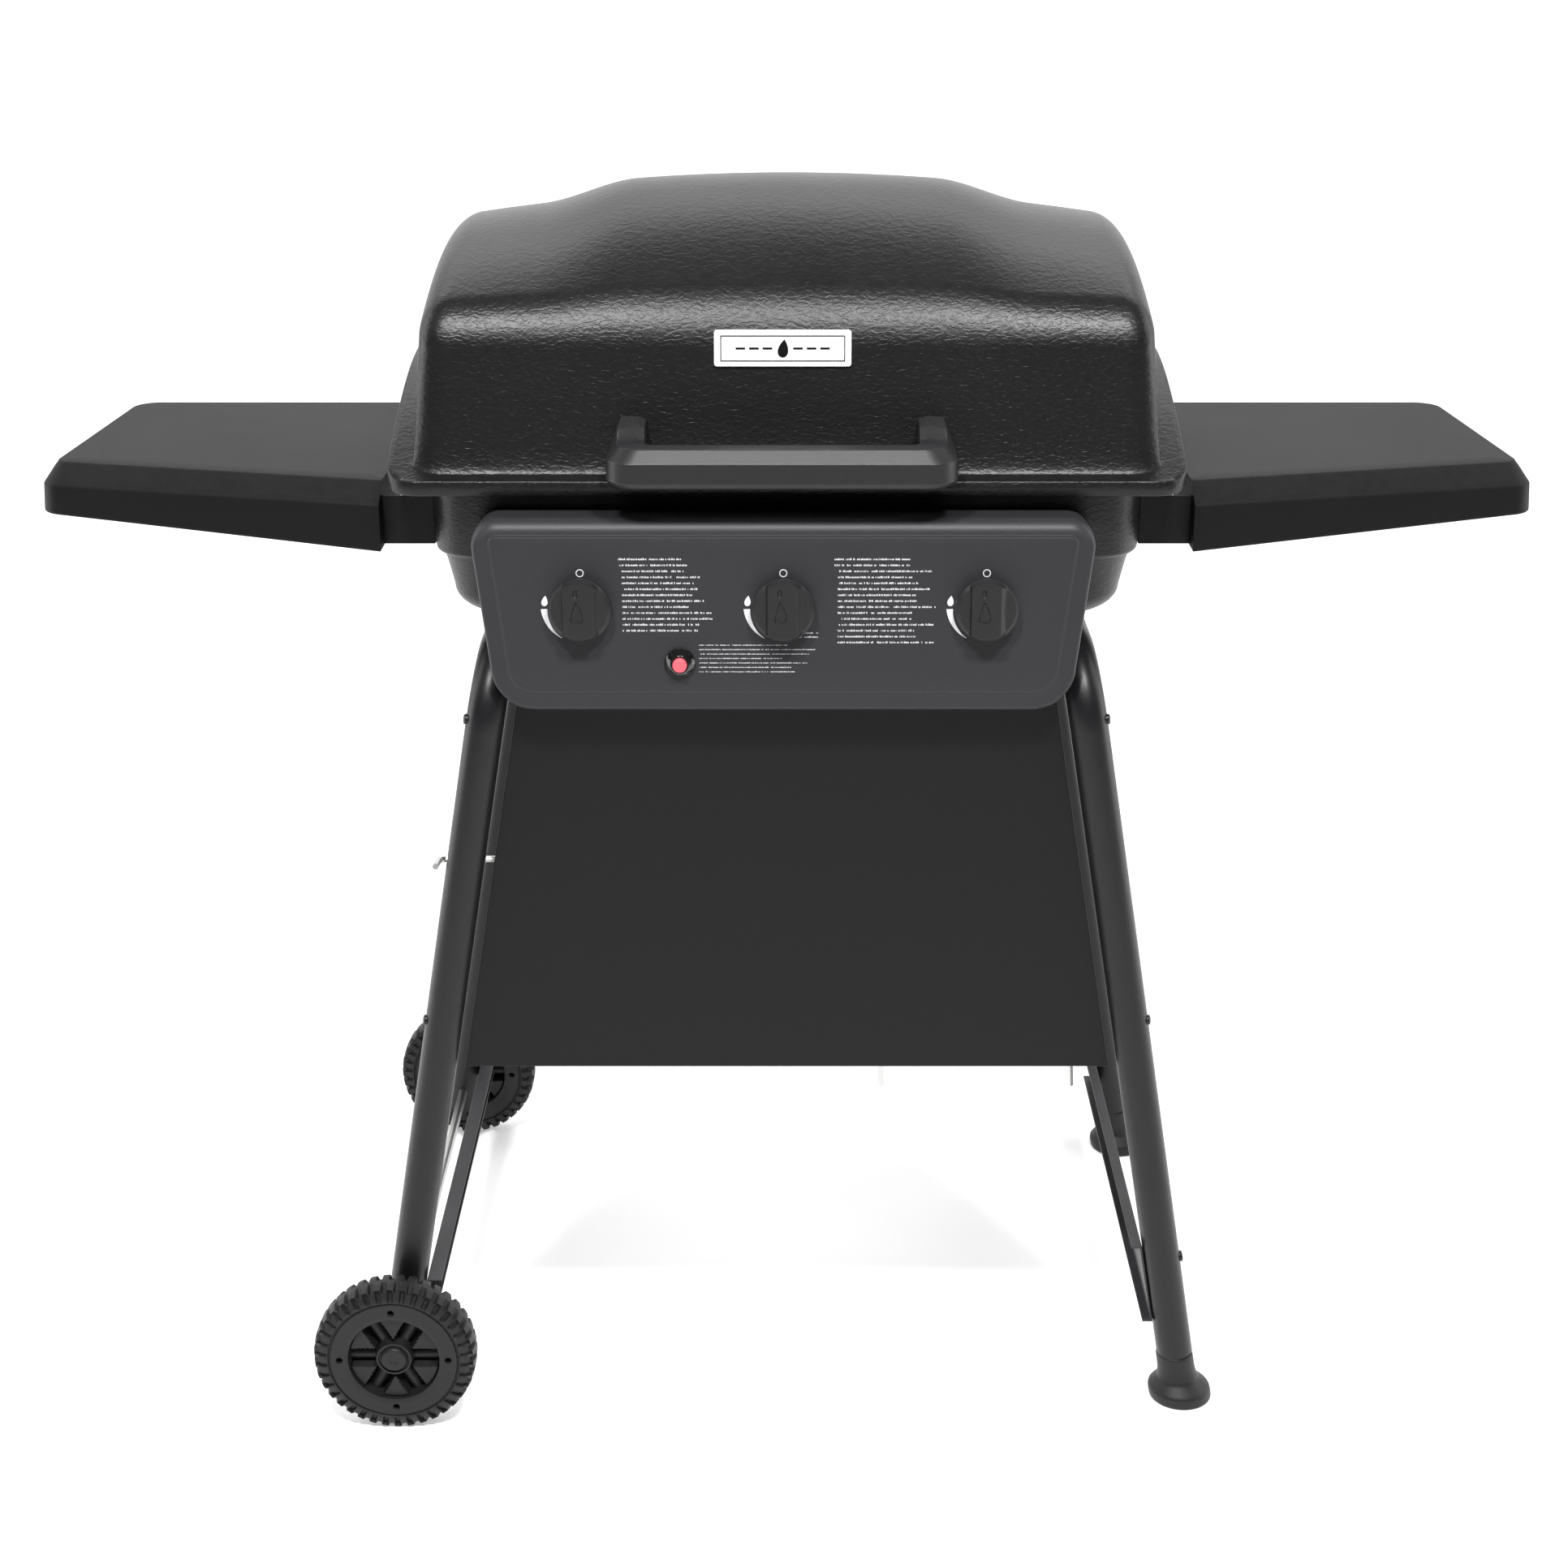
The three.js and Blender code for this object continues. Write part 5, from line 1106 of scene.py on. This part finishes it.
def flat_boxes(x0, x1, z0, z1, depth):
    """Many thin closed boxes at once, from arrays of their edges."""
    y = np.zeros_like(x0)
    corners = [(x0, z0), (x1, z0), (x1, z1), (x0, z1)]
    points = np.stack([np.stack([x, y - d, z], 1) for d in (0.0, depth) for x, z in corners], 1)
    sides = [(0, 1, 2, 3), (4, 5, 6, 7), (0, 1, 5, 4), (1, 2, 6, 5), (2, 3, 7, 6), (3, 0, 4, 7)]
    faces = np.arange(len(x0))[:, None, None] * 8 + np.array(sides)[None]
    return points, faces.reshape(-1, 4)


def text_block(rng, x0, z0, lines, pitch, height, width, indent=0.0):
    """Stand-in print: rows of short ticks in word-like groups, with no letters."""
    step = 0.62 * height
    slots = int(width / step)
    line, slot = np.meshgrid(np.arange(lines), np.arange(slots), indexing="ij")
    inked = rng.random((lines, slots)) > 0.16
    inked &= slot < rng.uniform(0.66, 1.0, lines)[:, None] * slots
    left = x0 + step * slot + np.where(line > 1, indent, 0.0)
    foot = z0 - pitch * line
    tall = height * rng.choice([0.72, 0.75, 1.0], (lines, slots))
    wide = step * rng.choice([0.35, 0.62, 0.7], (lines, slots))
    edges = [part[inked] for part in (left, left + wide, foot, foot + tall)]
    return flat_boxes(*edges, 0.06 * MM)


def build_prints(panel):
    """Printed marks: off rings, drops for high, curved wedges down to low, and plain rows of
    bars where the lighting instructions stand."""
    origin = panel_origin(panel)
    face = -(panel.rise + 0.05 * MM)
    marks = []
    for _, step in BURNERS:
        x = step * panel.pitch
        offset = (x, face, 0.0)
        marks.append(placed(ring_mark(3.0 * MM, 0.8 * MM), origin, panel.lean,
                            (x, face, 30.0 * MM)))
        marks.append(placed(arc_wedge(31.0 * MM, 182.0, 238.0, 5.6 * MM, 0.5 * MM), origin,
                            panel.lean, offset))
        drop = flat_shape(drop_outline(9.0 * MM))
        marks.append(placed(drop, origin, panel.lean, (x - 30.6 * MM, face, 6.0 * MM)))
    rng = np.random.default_rng(7)
    blocks = (text_block(rng, -0.1400, 0.0412, 13, 5.15 * MM, 1.7 * MM, 0.078, 3 * MM),
              text_block(rng, 0.0435, 0.0412, 15, 5.15 * MM, 1.7 * MM, 0.086, 3 * MM),
              text_block(rng, -0.0720, -0.0330, 7, 3.9 * MM, 1.0 * MM, 0.108),
              text_block(rng, 0.0125, -0.0225, 2, 3.6 * MM, 1.5 * MM, 0.026))
    marks += [placed(block, origin, panel.lean, (0.0, face, 0.0)) for block in blocks]
    make_joined("panel_print", marks, print_ink(), "cart", None)


def build_igniter():
    """The igniter: a glossy cone-shaped bezel with its body, and a domed button."""
    button_low, button_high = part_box("igniter_button")
    housing_low, housing_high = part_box("igniter_housing")
    lean = bpy.context.scene.grill_panel.lean
    outward = np.array([0.0, -math.cos(lean), math.sin(lean)])
    radius = (button_high.x - button_low.x) / 2
    body = (housing_high.x - housing_low.x) / 2
    front = np.array([(button_low.x + button_high.x) / 2, button_low.y + radius * math.sin(lean),
                      button_high.z - radius * math.cos(lean)])
    seat = front - outward * 11.0 * MM
    neck, bore, mouth = 10.5 * MM, radius + 0.5 * MM, 7.0 * MM
    bezel = rounded_profile([(0.0, -40 * MM), (neck, -40 * MM), (neck, 0.0), (body, 0.0),
                             (body, 1.4 * MM), (radius + 1.6 * MM, mouth), (bore, mouth),
                             (bore, -20 * MM), (0.0, -20 * MM)], 0.8 * MM)
    make_piece("igniter_bezel", *lathe(bezel, seat, outward, 56), gloss_plastic(), "cart",
               "gloss_black", ("igniter_housing",), sharp=50.0)
    cap = rounded_profile([(0.0, -24 * MM), (radius, -24 * MM), (radius, 9.6 * MM),
                           (radius - 1.2 * MM, 11.0 * MM), (radius - 2.2 * MM, 10.7 * MM),
                           (0.0, 10.6 * MM)], 0.5 * MM)
    make_piece("igniter_cap", *lathe(cap, seat, outward, 48), button_plastic(), "igniter_button",
               "button_red", ("igniter_button",), sharp=50.0)


class GRILL_OT_panel(bpy.types.Operator):
    """Builds the control panel, its knobs, print and igniter"""

    bl_idname = "grill.panel"
    bl_label = "Control panel"

    def execute(self, context):
        panel = context.scene.grill_panel
        build_panel(panel)
        build_knobs(panel)
        build_prints(panel)
        build_igniter()
        for name, _ in BURNERS:
            soft_copy(f"valve_stem_{name}", brass(), "brass", 0.4 * MM)
            soft_copy(f"valve_{name}", brass(), "brass", 0.4 * MM)
        soft_copy("manifold", burner_steel(), "burner_steel", 0.4 * MM)
        soft_copy("igniter_electrode", ceramic(), "ceramic_white", 0.5 * MM)
        soft_copy("igniter_lead", gloss_plastic(), "gloss_black", 0.0)
        return {"FINISHED"}


# ---------------------------------------------------------------- shelves
SHELF_LOW, SHELF_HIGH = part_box("shelf_right")


def shelf_ring(shelf, flare, forward, inset):
    """A shelf's outline from above: a front edge that slants back to the tip, an outer edge that
    leans in to the back, rounded outer corners and a straight inner edge."""
    inner_x, rear = SHELF_LOW.x, SHELF_HIGH.y
    tip_x = SHELF_HIGH.x - 10.0 * MM
    crease_in, crease_out = -0.148, -0.075
    slope = (crease_out - crease_in) / (tip_x - inner_x)
    taper = shelf.taper / (rear - crease_out)
    turn, lean = math.atan(slope), math.atan(taper)
    shift = forward - inset / math.cos(turn)

    def front_at(x):
        return crease_in + slope * (x - inner_x) - shift

    def outer_at(y):
        return tip_x + flare - inset / math.cos(lean) - taper * (y - crease_out)

    radius = max(shelf.front_corner + forward * 0.3 - inset * 0.5, 1 * MM)
    reach = radius / math.cos(turn)
    cx = (outer_at(front_at(0.0) + reach) - radius / math.cos(lean)) / (1.0 + taper * slope)
    a = np.linspace(turn - np.pi / 2, lean, 22)
    corner = np.stack([cx + radius * np.cos(a), front_at(cx) + reach + radius * np.sin(a)], 1)
    b = np.linspace(lean, np.pi / 2, 14)
    back_radius = shelf.corner - inset * 0.5
    back_y = rear - inset - back_radius
    back_x = outer_at(back_y) - back_radius / math.cos(lean)
    back = np.stack([back_x + back_radius * np.cos(b), back_y + back_radius * np.sin(b)], 1)
    start = np.array([inner_x + inset, front_at(inner_x + inset)])
    end = np.array([inner_x + inset, rear - inset])
    return np.concatenate([
        np.linspace(start, corner[0], 60)[:-1], corner,
        np.linspace(corner[-1], back[0], 30)[1:-1], back,
        np.linspace(back[-1], end, 50)[1:], np.linspace(end, start, 40)[1:-1]])


def build_shelves(shelf):
    """Each shelf: top, rounded crease, chamfer, drafted rim down to a slanting lower edge, and
    the inside of the moulding. The front chamfer narrows to nothing at the back."""
    top = SHELF_HIGH.z
    edge = shelf.edge

    def bottom(ring):
        share = np.clip((ring[:, 0] - SHELF_LOW.x) / (SHELF_HIGH.x - SHELF_LOW.x), 0, 1)
        near = shelf.inner_drop + (shelf.outer_drop - shelf.inner_drop) * share
        far = np.full(len(ring), shelf.side_drop)
        toward_back = smooth_step(ring[:, 1], -0.085, -0.040)
        return top - (near + (far - near) * toward_back)

    def foot(inset):
        return shelf_ring(shelf, shelf.flare + 1.0 * MM, shelf.chamfer_reach + 2.0 * MM, inset)

    def skin(inset):
        reach, drop = shelf.chamfer_reach, shelf.chamfer_drop
        levels = [(-0.15 * edge, -0.8 * edge, 0.0), (0.0, -0.25 * edge, 0.15 * edge),
                  (0.1 * MM, 0.35 * edge, 0.5 * edge), (0.25 * shelf.flare, 6 * MM, 4.4 * MM),
                  (0.72 * shelf.flare, 18.5 * MM, 12.4 * MM),
                  (0.93 * shelf.flare, reach - 1.6 * MM, drop - 1.3 * MM),
                  (0.99 * shelf.flare, reach - 0.3 * MM, drop - 0.1 * MM),
                  (shelf.flare, reach, drop + 1.6 * MM)]
        rows = [raised(shelf_ring(shelf, flare, forward, inset), top - fall - inset)
                for flare, forward, fall in levels]
        last = raised(foot(inset), bottom(foot(inset)) + edge)
        rows.append((rows[-1] + last) / 2)
        rows.append(last)
        return rows

    def plate(inset):
        crown = skin(inset)[0]
        middle = crown.mean(axis=0)
        return [middle + (crown - middle) * share for share in (0.0, 0.3, 0.6, 0.85)]

    outer = plate(0.0) + skin(0.0)
    inner = plate(shelf.wall) + skin(shelf.wall)
    edge_ring, lip_ring, wall_ring = foot(0.0), foot(0.6 * MM), foot(shelf.wall)
    lip = [raised(edge_ring, bottom(edge_ring) + 0.8 * MM),
           raised(lip_ring, bottom(edge_ring)), raised(wall_ring, bottom(wall_ring))]
    rows = np.stack(outer + lip + inner[::-1])
    for name, side in SIDES:
        points = rows * np.array([side, 1, 1])
        make_piece(f"shelf_{name}_moulding", points, grid_faces(len(rows), rows.shape[1]),
                   shelf_plastic(), "cart", "moulded_black", (f"shelf_{name}",), sharp=40.0)


class GRILL_OT_shelves(bpy.types.Operator):
    """Builds the side shelves and their brackets"""

    bl_idname = "grill.shelves"
    bl_label = "Shelves"

    def execute(self, context):
        build_shelves(context.scene.grill_shelf)
        for name, _ in SIDES:
            for end, _ in ENDS:
                soft_copy(f"shelf_bracket_{name}_{end}", sheet_paint(), "sheet_black", 0.6 * MM)
        return {"FINISHED"}


# ---------------------------------------------------------------- cart
def leg_path(side, end_z, cart, steps=14):
    """Centre line of a leg frame in its leaning plane: up, a quarter circle back, level, a
    quarter circle down, down."""
    a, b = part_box("leg_frame_left")
    radius, bend = cart.leg_radius, cart.leg_bend
    run_z = b.z - radius
    half_y = b.y - radius
    axle_z = (low("wheel_front").z + high("wheel_front").z) / 2
    axle_x = -(low("wheel_front").x + high("wheel_front").x) / 2
    corner = np.array([side * (axle_x + (axle_z - run_z) * cart.lean), 0.0, run_z])
    up = np.array([-side * cart.lean, 0.0, 1.0])
    up /= np.linalg.norm(up)
    foot = (end_z - run_z) / up[2]
    arc = np.linspace(0.0, np.pi / 2, steps)
    y_up = -half_y + bend * (1 - np.cos(arc))
    w_up = -bend * (1 - np.sin(arc))
    level = np.linspace(y_up[-1], -y_up[-1], steps)[1:-1]
    y = np.concatenate([np.full(steps, -half_y), y_up[1:], level, -y_up[::-1],
                        np.full(steps - 1, half_y)])
    rise = np.linspace(foot, w_up[0], steps)
    w = np.concatenate([rise, w_up[1:], np.zeros(steps - 2), w_up[::-1], rise[::-1][1:]])
    along = np.array([0.0, 1.0, 0.0])
    return corner + y[:, None] * along + w[:, None] * up, np.cross(up, along)


def build_legs(cart):
    """Both leg frames, the left one ending open below its axle, the right one in its feet."""
    for (name, side), end_z in zip(SIDES, (low("leg_frame_left").z + 3.2 * MM, 0.0485)):
        path, normal = leg_path(side, end_z, cart)
        rows, faces = tube(path, cart.leg_radius, normal, 40, cart.leg_wall, 5.0 * MM)
        make_piece(f"leg_frame_{name}_tube", rows, faces, tube_paint(), "cart", "tube_black",
                   (f"leg_frame_{name}",), sharp=50.0)


def build_feet(cart):
    """Feet: a turned profile sheared along the leaning leg. Each level circle moves sideways
    by the lean times its height."""
    for end, _ in ENDS:
        a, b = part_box(f"foot_{end}")
        radius = (b.y - a.y) / 2
        sleeve = cart.leg_radius
        profile = rounded_profile([
            (0.0, 0.0), (radius - 1 * MM, 0.0), (radius, 2.0 * MM), (radius, 11.0 * MM),
            (radius - 4 * MM, 15.0 * MM), (sleeve + 2.6 * MM, 21 * MM),
            (sleeve + 0.9 * MM, 31 * MM), (sleeve + 0.7 * MM, 48.0 * MM),
            (sleeve - 2.5 * MM, 48.3 * MM), (sleeve - 3 * MM, 60 * MM),
            (0.0, 60 * MM)], 3.0 * MM, 6)
        rows, faces = lathe(profile, (b.x - radius, (a.y + b.y) / 2, 0.0), (0, 0, 1), 56)
        rows[..., 0] -= rows[..., 2] * cart.lean
        make_piece(f"foot_{end}_moulding", rows, faces, moulded_plastic(), "cart", "moulded_black",
                   (f"foot_{end}",), sharp=40.0)


def tread_groove(phase):
    """1 in the middle of the gap between two tread blocks, 0 on a block."""
    return 1 - smooth_step(np.abs(phase % 1.0 - 0.5), 0.13, 0.21)


def wheel_face(r, u, cart, half, tyre_radius):
    """Height of a wheel's side: lugs, a ring with a groove and four holes, a recess with
    rounded spokes, and a raised collar."""
    groove, holes, bead = 60.5 * MM, 51.0 * MM, 13.4 * MM      # radii
    web, hub = cart.web_radius, cart.hub_radius
    ring = half - 1.6 * MM * (1 - smooth_step(np.abs(r - groove), 0.5 * MM, 1.3 * MM))
    outside = smooth_step(r, 62.5 * MM, 64.0 * MM)
    gaps = tread_groove(u * cart.tread_blocks / (2 * np.pi))
    ring = ring - 3.0 * MM * outside * gaps
    ring = ring - 5.0 * MM * smooth_step(r, 62.0 * MM, tyre_radius + 3 * MM)
    ring = ring - 0.8 * MM * (1 - smooth_step(r, web + 1 * MM, web + 3 * MM))
    hole = np.zeros_like(r)
    for k in range(4):
        x = r * np.cos(u) - holes * math.cos(k * math.pi / 2)
        z = r * np.sin(u) - holes * math.sin(k * math.pi / 2)
        hole = np.maximum(hole, 1 - smooth_step(np.hypot(x, z), 2.2 * MM, 3.0 * MM))
    ring = ring - 7.0 * MM * hole
    phase = (u * cart.spokes / (2 * np.pi)) % 1.0
    across = np.minimum(phase, 1 - phase) * 2 * np.pi / cart.spokes * r
    swell = np.sqrt(np.clip(1 - (across / (9.6 * MM)) ** 2, 0.0, 1.0))
    inside = half - 29.0 * MM + 19.0 * MM * swell
    collar = half - 2.5 * MM - 1.8 * MM * (1 - smooth_step(np.abs(r - bead), 0.5 * MM, 1.2 * MM))
    inside = inside + (collar - inside) * (1 - smooth_step(r, hub, hub + 2 * MM))
    return inside + (ring - inside) * smooth_step(r, web - 1.6 * MM, web)


def build_wheels(cart):
    """Wheels: both sides as heights over rings, and a tread of two rows of blocks with a rib
    between them. The tread's radius drops in the grooves."""
    for end, way in ENDS:
        a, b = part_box(f"wheel_{end}")
        radius = (b.z - a.z) / 2
        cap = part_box(f"axle_cap_{end}")
        outer_y = cap[0].y if way < 0 else cap[1].y
        half = 17.0 * MM
        centre = np.array([(a.x + b.x) / 2, outer_y - way * half, (a.z + b.z) / 2])
        cells = cart.tread_blocks * 8
        u = np.linspace(0.0, 2 * np.pi, cells, endpoint=False)
        shoulder = radius - 5.0 * MM
        edges = np.array([2, 11, 12.2, 12.9, 13.9, 14.6, 15.5, 16.5, 17.5, 18.5, 21, 24, 28, 32, 36,
                          39, 41.4, 42.2, 43, 44, 46, 47.8, 48.4, 49, 50, 51, 52, 53, 53.6, 54.2,
                          57, 59.2, 60, 61, 61.8, 62.5, 64, 66, 69]) * MM
        r = np.concatenate([[0.0], edges, [shoulder]])
        grid_r, grid_u = np.meshgrid(r, u, indexing="ij")
        height = wheel_face(grid_r, grid_u, cart, half, radius)
        share = np.array([0.10, 0.13, 0.55, 0.97, 1.0])
        wide = np.concatenate([-share[::-1], share]) * (half - 3.4 * MM)
        phase = (u * cart.tread_blocks / (2 * np.pi)) % 1.0
        tread = []
        for w in wide:
            groove = tread_groove(phase + (0.5 if w > 0 else 0.0))
            rib = 1.0 if abs(w) < 0.11 * half else 0.0
            depth = cart.tread_depth * groove * (1 - rib)
            drop = 1.6 * MM if abs(w) > 0.7 * half else 0.0
            tread.append((radius - 0.1 * MM - depth - drop, np.full(cells, w)))
        sides = list(zip(grid_r, height))
        levels = sides + tread[::-1] + [(g, -h) for g, h in sides[::-1]]
        rows = np.stack([np.column_stack([g * np.cos(u), -h, g * np.sin(u)]) for g, h in levels])
        rows = rows * np.array([1.0, -way, 1.0]) + centre
        make_piece(f"wheel_{end}_moulding", rows, grid_faces(len(rows), cells), moulded_plastic(),
                   f"wheel_{end}", "moulded_black", (f"wheel_{end}",), sharp=38.0)
        crown = rounded_profile([(0.0, -6 * MM), (12 * MM, -6 * MM), (12 * MM, -1.5 * MM),
                                 (10.5 * MM, 0.0), (4.5 * MM, -0.1 * MM), (4.0 * MM, -0.8 * MM),
                                 (0.0, -0.8 * MM)], 0.7 * MM)
        centre_out = (centre[0], outer_y, centre[2])
        make_piece(f"axle_cap_{end}_moulding", *lathe(crown, centre_out, (0, way, 0), 48),
                   moulded_plastic(), f"wheel_{end}", "moulded_black", (f"axle_cap_{end}",),
                   sharp=45.0)


def build_bolts(cart):
    """Bolts that hold the braces, the crossbar and the front panel to the legs."""
    slope = 0.17
    bolts = []
    for name, side in SIDES:
        brace_z = 0.112 if name == "left" else 0.150
        for z, both_ends in ((brace_z, True), (0.560, False)):
            path, _ = leg_path(side, z, cart)
            out = np.array([side, 0.0, slope])
            for foot in (path[0], path[-1]) if both_ends else (path[-1],):
                bolts.append(capsule(foot + out * cart.leg_radius * 0.98, 5.2 * MM, 3.0 * MM, out))
        for z in (0.40, 0.69):
            path, _ = leg_path(side, z, cart)
            out = np.array([side, -0.25, slope])
            bolts.append(capsule(path[0] + out * cart.leg_radius * 0.95, 4.6 * MM, 2.6 * MM, out))
    make_joined("leg_bolts", bolts, tube_paint(), "cart", "tube_black")


class GRILL_OT_cart(bpy.types.Operator):
    """Builds the legs, feet, wheels, front panel and braces"""

    bl_idname = "grill.cart"
    bl_label = "Cart"

    def execute(self, context):
        cart = context.scene.grill_cart
        build_legs(cart)
        build_feet(cart)
        build_wheels(cart)
        build_bolts(cart)
        soft_copy("front_panel", sheet_paint(), "sheet_black", 0.9 * MM, 3)
        for node in ("side_brace_left", "side_brace_right", "rear_crossbar"):
            soft_copy(node, panel_paint(), "sheet_black", 0.7 * MM)
        soft_copy("tank_guard", plain_steel(), "bright_steel", 0.0)
        soft_copy("axle", plain_steel(), "bright_steel", 0.8 * MM)
        return {"FINISHED"}


# ---------------------------------------------------------------- inside and underneath
class GRILL_OT_inside(bpy.types.Operator):
    """Finishes the burners, grates, warming rack, hinges and grease cup"""

    bl_idname = "grill.inside"
    bl_label = "Inside"

    def execute(self, context):
        for name, _ in BURNERS:
            soft_copy(f"burner_{name}", burner_steel(), "burner_steel", 0.4 * MM)
            soft_copy(f"heat_tent_{name}", enamel(), "enamel_black", 0.4 * MM)
        soft_copy("carryover_tube", burner_steel(), "burner_steel", 0.4 * MM)
        for name, _ in SIDES:
            soft_copy(f"grate_{name}", enamel(), "enamel_black", 1.1 * MM, 3)
            soft_copy(f"hinge_pin_{name}", plain_steel(), "bright_steel", 0.6 * MM)
            soft_copy(f"hinge_bracket_{name}", sheet_paint(), "sheet_black", 0.5 * MM)
            soft_copy(f"lid_lug_{name}", cast_paint(), "cast_black", 0.8 * MM)
            soft_copy(f"rack_link_{name}", plain_steel(), "bright_steel", 0.0)
        soft_copy("warming_rack", plain_steel(), "bright_steel", 0.3 * MM)
        self.build_cup()
        soft_copy("grease_cup_clip", plain_steel(), "bright_steel", 0.3 * MM)
        return {"FINISHED"}

    def build_cup(self):
        """The grease cup: a thin drawn can with a lip and a groove round it."""
        a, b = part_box("grease_cup")
        lip = (b.x - a.x) / 2
        wall = lip - 3.0 * MM
        sheet = 0.8 * MM
        tall = b.z - a.z
        outer = [(0.0, 0.0), (wall - 1.5 * MM, 0.0), (wall, 2.0 * MM), (wall, 0.3 * tall),
                 (wall - 0.7 * MM, 0.33 * tall), (wall, 0.36 * tall), (wall, tall - sheet),
                 (lip, tall - sheet), (lip, tall)]
        bore = wall - sheet
        inner = [(bore, tall), (bore, 0.36 * tall), (bore - 0.7 * MM, 0.33 * tall),
                 (bore, 0.3 * tall), (bore, sheet), (0.0, sheet)]
        profile = rounded_profile(outer + inner, 0.8 * MM)
        centre = ((a.x + b.x) / 2, (a.y + b.y) / 2, a.z)
        make_piece("grease_cup_can", *lathe(profile, centre, (0, 0, 1), 64), plain_steel(), "cart",
                   "bright_steel", ("grease_cup",), sharp=45.0)


# ---------------------------------------------------------------- stage
def area_light(name, place, target, size, power):
    """A rectangular softbox that looks at a point."""
    data = bpy.data.lights.new(name, "AREA")
    data.shape = "RECTANGLE"
    data.size, data.size_y = size
    data.energy = power
    light = bpy.data.objects.new(name, data)
    light.location = place
    light.rotation_euler = (Vector(target) - Vector(place)).to_track_quat("-Z", "Y").to_euler()
    bpy.context.scene.collection.objects.link(light)


class GRILL_OT_stage(bpy.types.Operator):
    """Adds the floor, the softboxes and the camera"""

    bl_idname = "grill.stage"
    bl_label = "Stage"

    def execute(self, context):
        stage = context.scene.grill_stage
        scene = context.scene
        sweep = np.linspace(0.0, np.pi / 2, 24)
        radius, back, front, reach = 1.6, 3.4, -9.0, 9.0
        y = np.concatenate([[front], back - radius + radius * np.sin(sweep), [back]])
        z = np.concatenate([[0.0], radius - radius * np.cos(sweep), [6.0]])
        side = np.stack([np.column_stack([np.full(len(y), x), y, z]) for x in (-reach, reach)])
        mesh = bpy.data.meshes.new("floor")
        mesh.from_pydata(side.reshape(-1, 3).tolist(), [],
                         grid_faces(2, len(y), ring=False).tolist())
        mesh.shade_smooth()
        floor = bpy.data.objects.new("floor", mesh)
        floor.location.z = -0.2 * MM
        scene.collection.objects.link(floor)
        cloth = surface("floor", stage.floor, 0.7, vary=0.02, specular=0.1)
        shader = cloth.node_tree.nodes["Principled BSDF"]
        shader.inputs["Emission Color"].default_value = (1.0, 1.0, 1.0, 1.0)
        shader.inputs["Emission Strength"].default_value = stage.glow
        mesh.materials.append(cloth)
        self.light(stage)
        camera = bpy.data.objects.new("camera", bpy.data.cameras.new("camera"))
        camera.data.lens = stage.lens
        camera.data.sensor_width = 36.0
        camera.data.shift_x = -0.0018
        camera.data.shift_y = 0.0009
        camera.location = (0.0, -stage.distance, stage.eye)
        camera.rotation_euler = Euler((math.pi / 2 - stage.tilt, 0.0, 0.0))
        scene.collection.objects.link(camera)
        scene.camera = camera
        scene.view_settings.view_transform = "Standard"
        return {"FINISHED"}

    def light(self, stage):
        """A dim surround, boxes behind and in front, and a tall and a high one on each side."""
        world = bpy.data.worlds.new("studio")
        bpy.context.scene.world = world
        world.use_nodes = True
        backdrop = world.node_tree.nodes["Background"]
        backdrop.inputs["Color"].default_value = (1.0, 1.0, 1.0, 1.0)
        backdrop.inputs["Strength"].default_value = stage.surround
        area_light("rear", (0.0, 2.2, 3.4), (0.0, 1.4, 0.0), (4.5, 1.2), stage.power * 0.7)
        for name, x in SIDES:
            area_light(name, (x * 2.4, 0.3, 1.3), (0.0, 0.2, 0.6), (1.6, 2.6), stage.power * 0.65)
            area_light(name + " high", (x * 0.55, -1.75, 3.0), (0.0, -0.2, 1.0), (0.34, 0.3),
                       stage.power * 1.15)
        area_light("front", (0.0, -1.8, 3.1), (0.0, 0.0, 0.7), (2.6, 0.3), stage.power * 0.2)


# ---------------------------------------------------------------- add-on
class GRILL_PT_sidebar(bpy.types.Panel):
    """Lists the grill's steps and settings"""

    bl_label = "Gas grill"
    bl_idname = "GRILL_PT_sidebar"
    bl_space_type = "VIEW_3D"
    bl_region_type = "UI"
    bl_category = "Grill"

    def draw(self, context):
        for step in STEPS:
            self.layout.operator(step.bl_idname)
        for group in SETTINGS:
            settings = getattr(context.scene, group)
            for name in settings.bl_rna.properties.keys():
                if name not in {"rna_type", "name"}:
                    self.layout.prop(settings, name)


SETTINGS = {"grill_finishes": GrillFinishes, "grill_lid": GrillLid, "grill_panel": GrillPanel,
            "grill_shelf": GrillShelf, "grill_cart": GrillCart, "grill_stage": GrillStage}
STEPS = (GRILL_OT_stage, GRILL_OT_castings, GRILL_OT_handle, GRILL_OT_panel, GRILL_OT_shelves,
         GRILL_OT_cart, GRILL_OT_inside)
CLASSES = (*SETTINGS.values(), *STEPS, GRILL_PT_sidebar)


def register():
    """Registers the classes and hangs the settings on the scene."""
    for cls in CLASSES:
        bpy.utils.register_class(cls)
    for name, cls in SETTINGS.items():
        setattr(bpy.types.Scene, name, bpy.props.PointerProperty(type=cls))


def unregister():
    """Takes the settings and classes away again."""
    for name in SETTINGS:
        delattr(bpy.types.Scene, name)
    for cls in reversed(CLASSES):
        bpy.utils.unregister_class(cls)


def main():
    """Builds everything in order."""
    register()
    for step in STEPS:
        group, operator = step.bl_idname.split(".")
        getattr(getattr(bpy.ops, group), operator)()


if __name__ == "__main__":
    main()
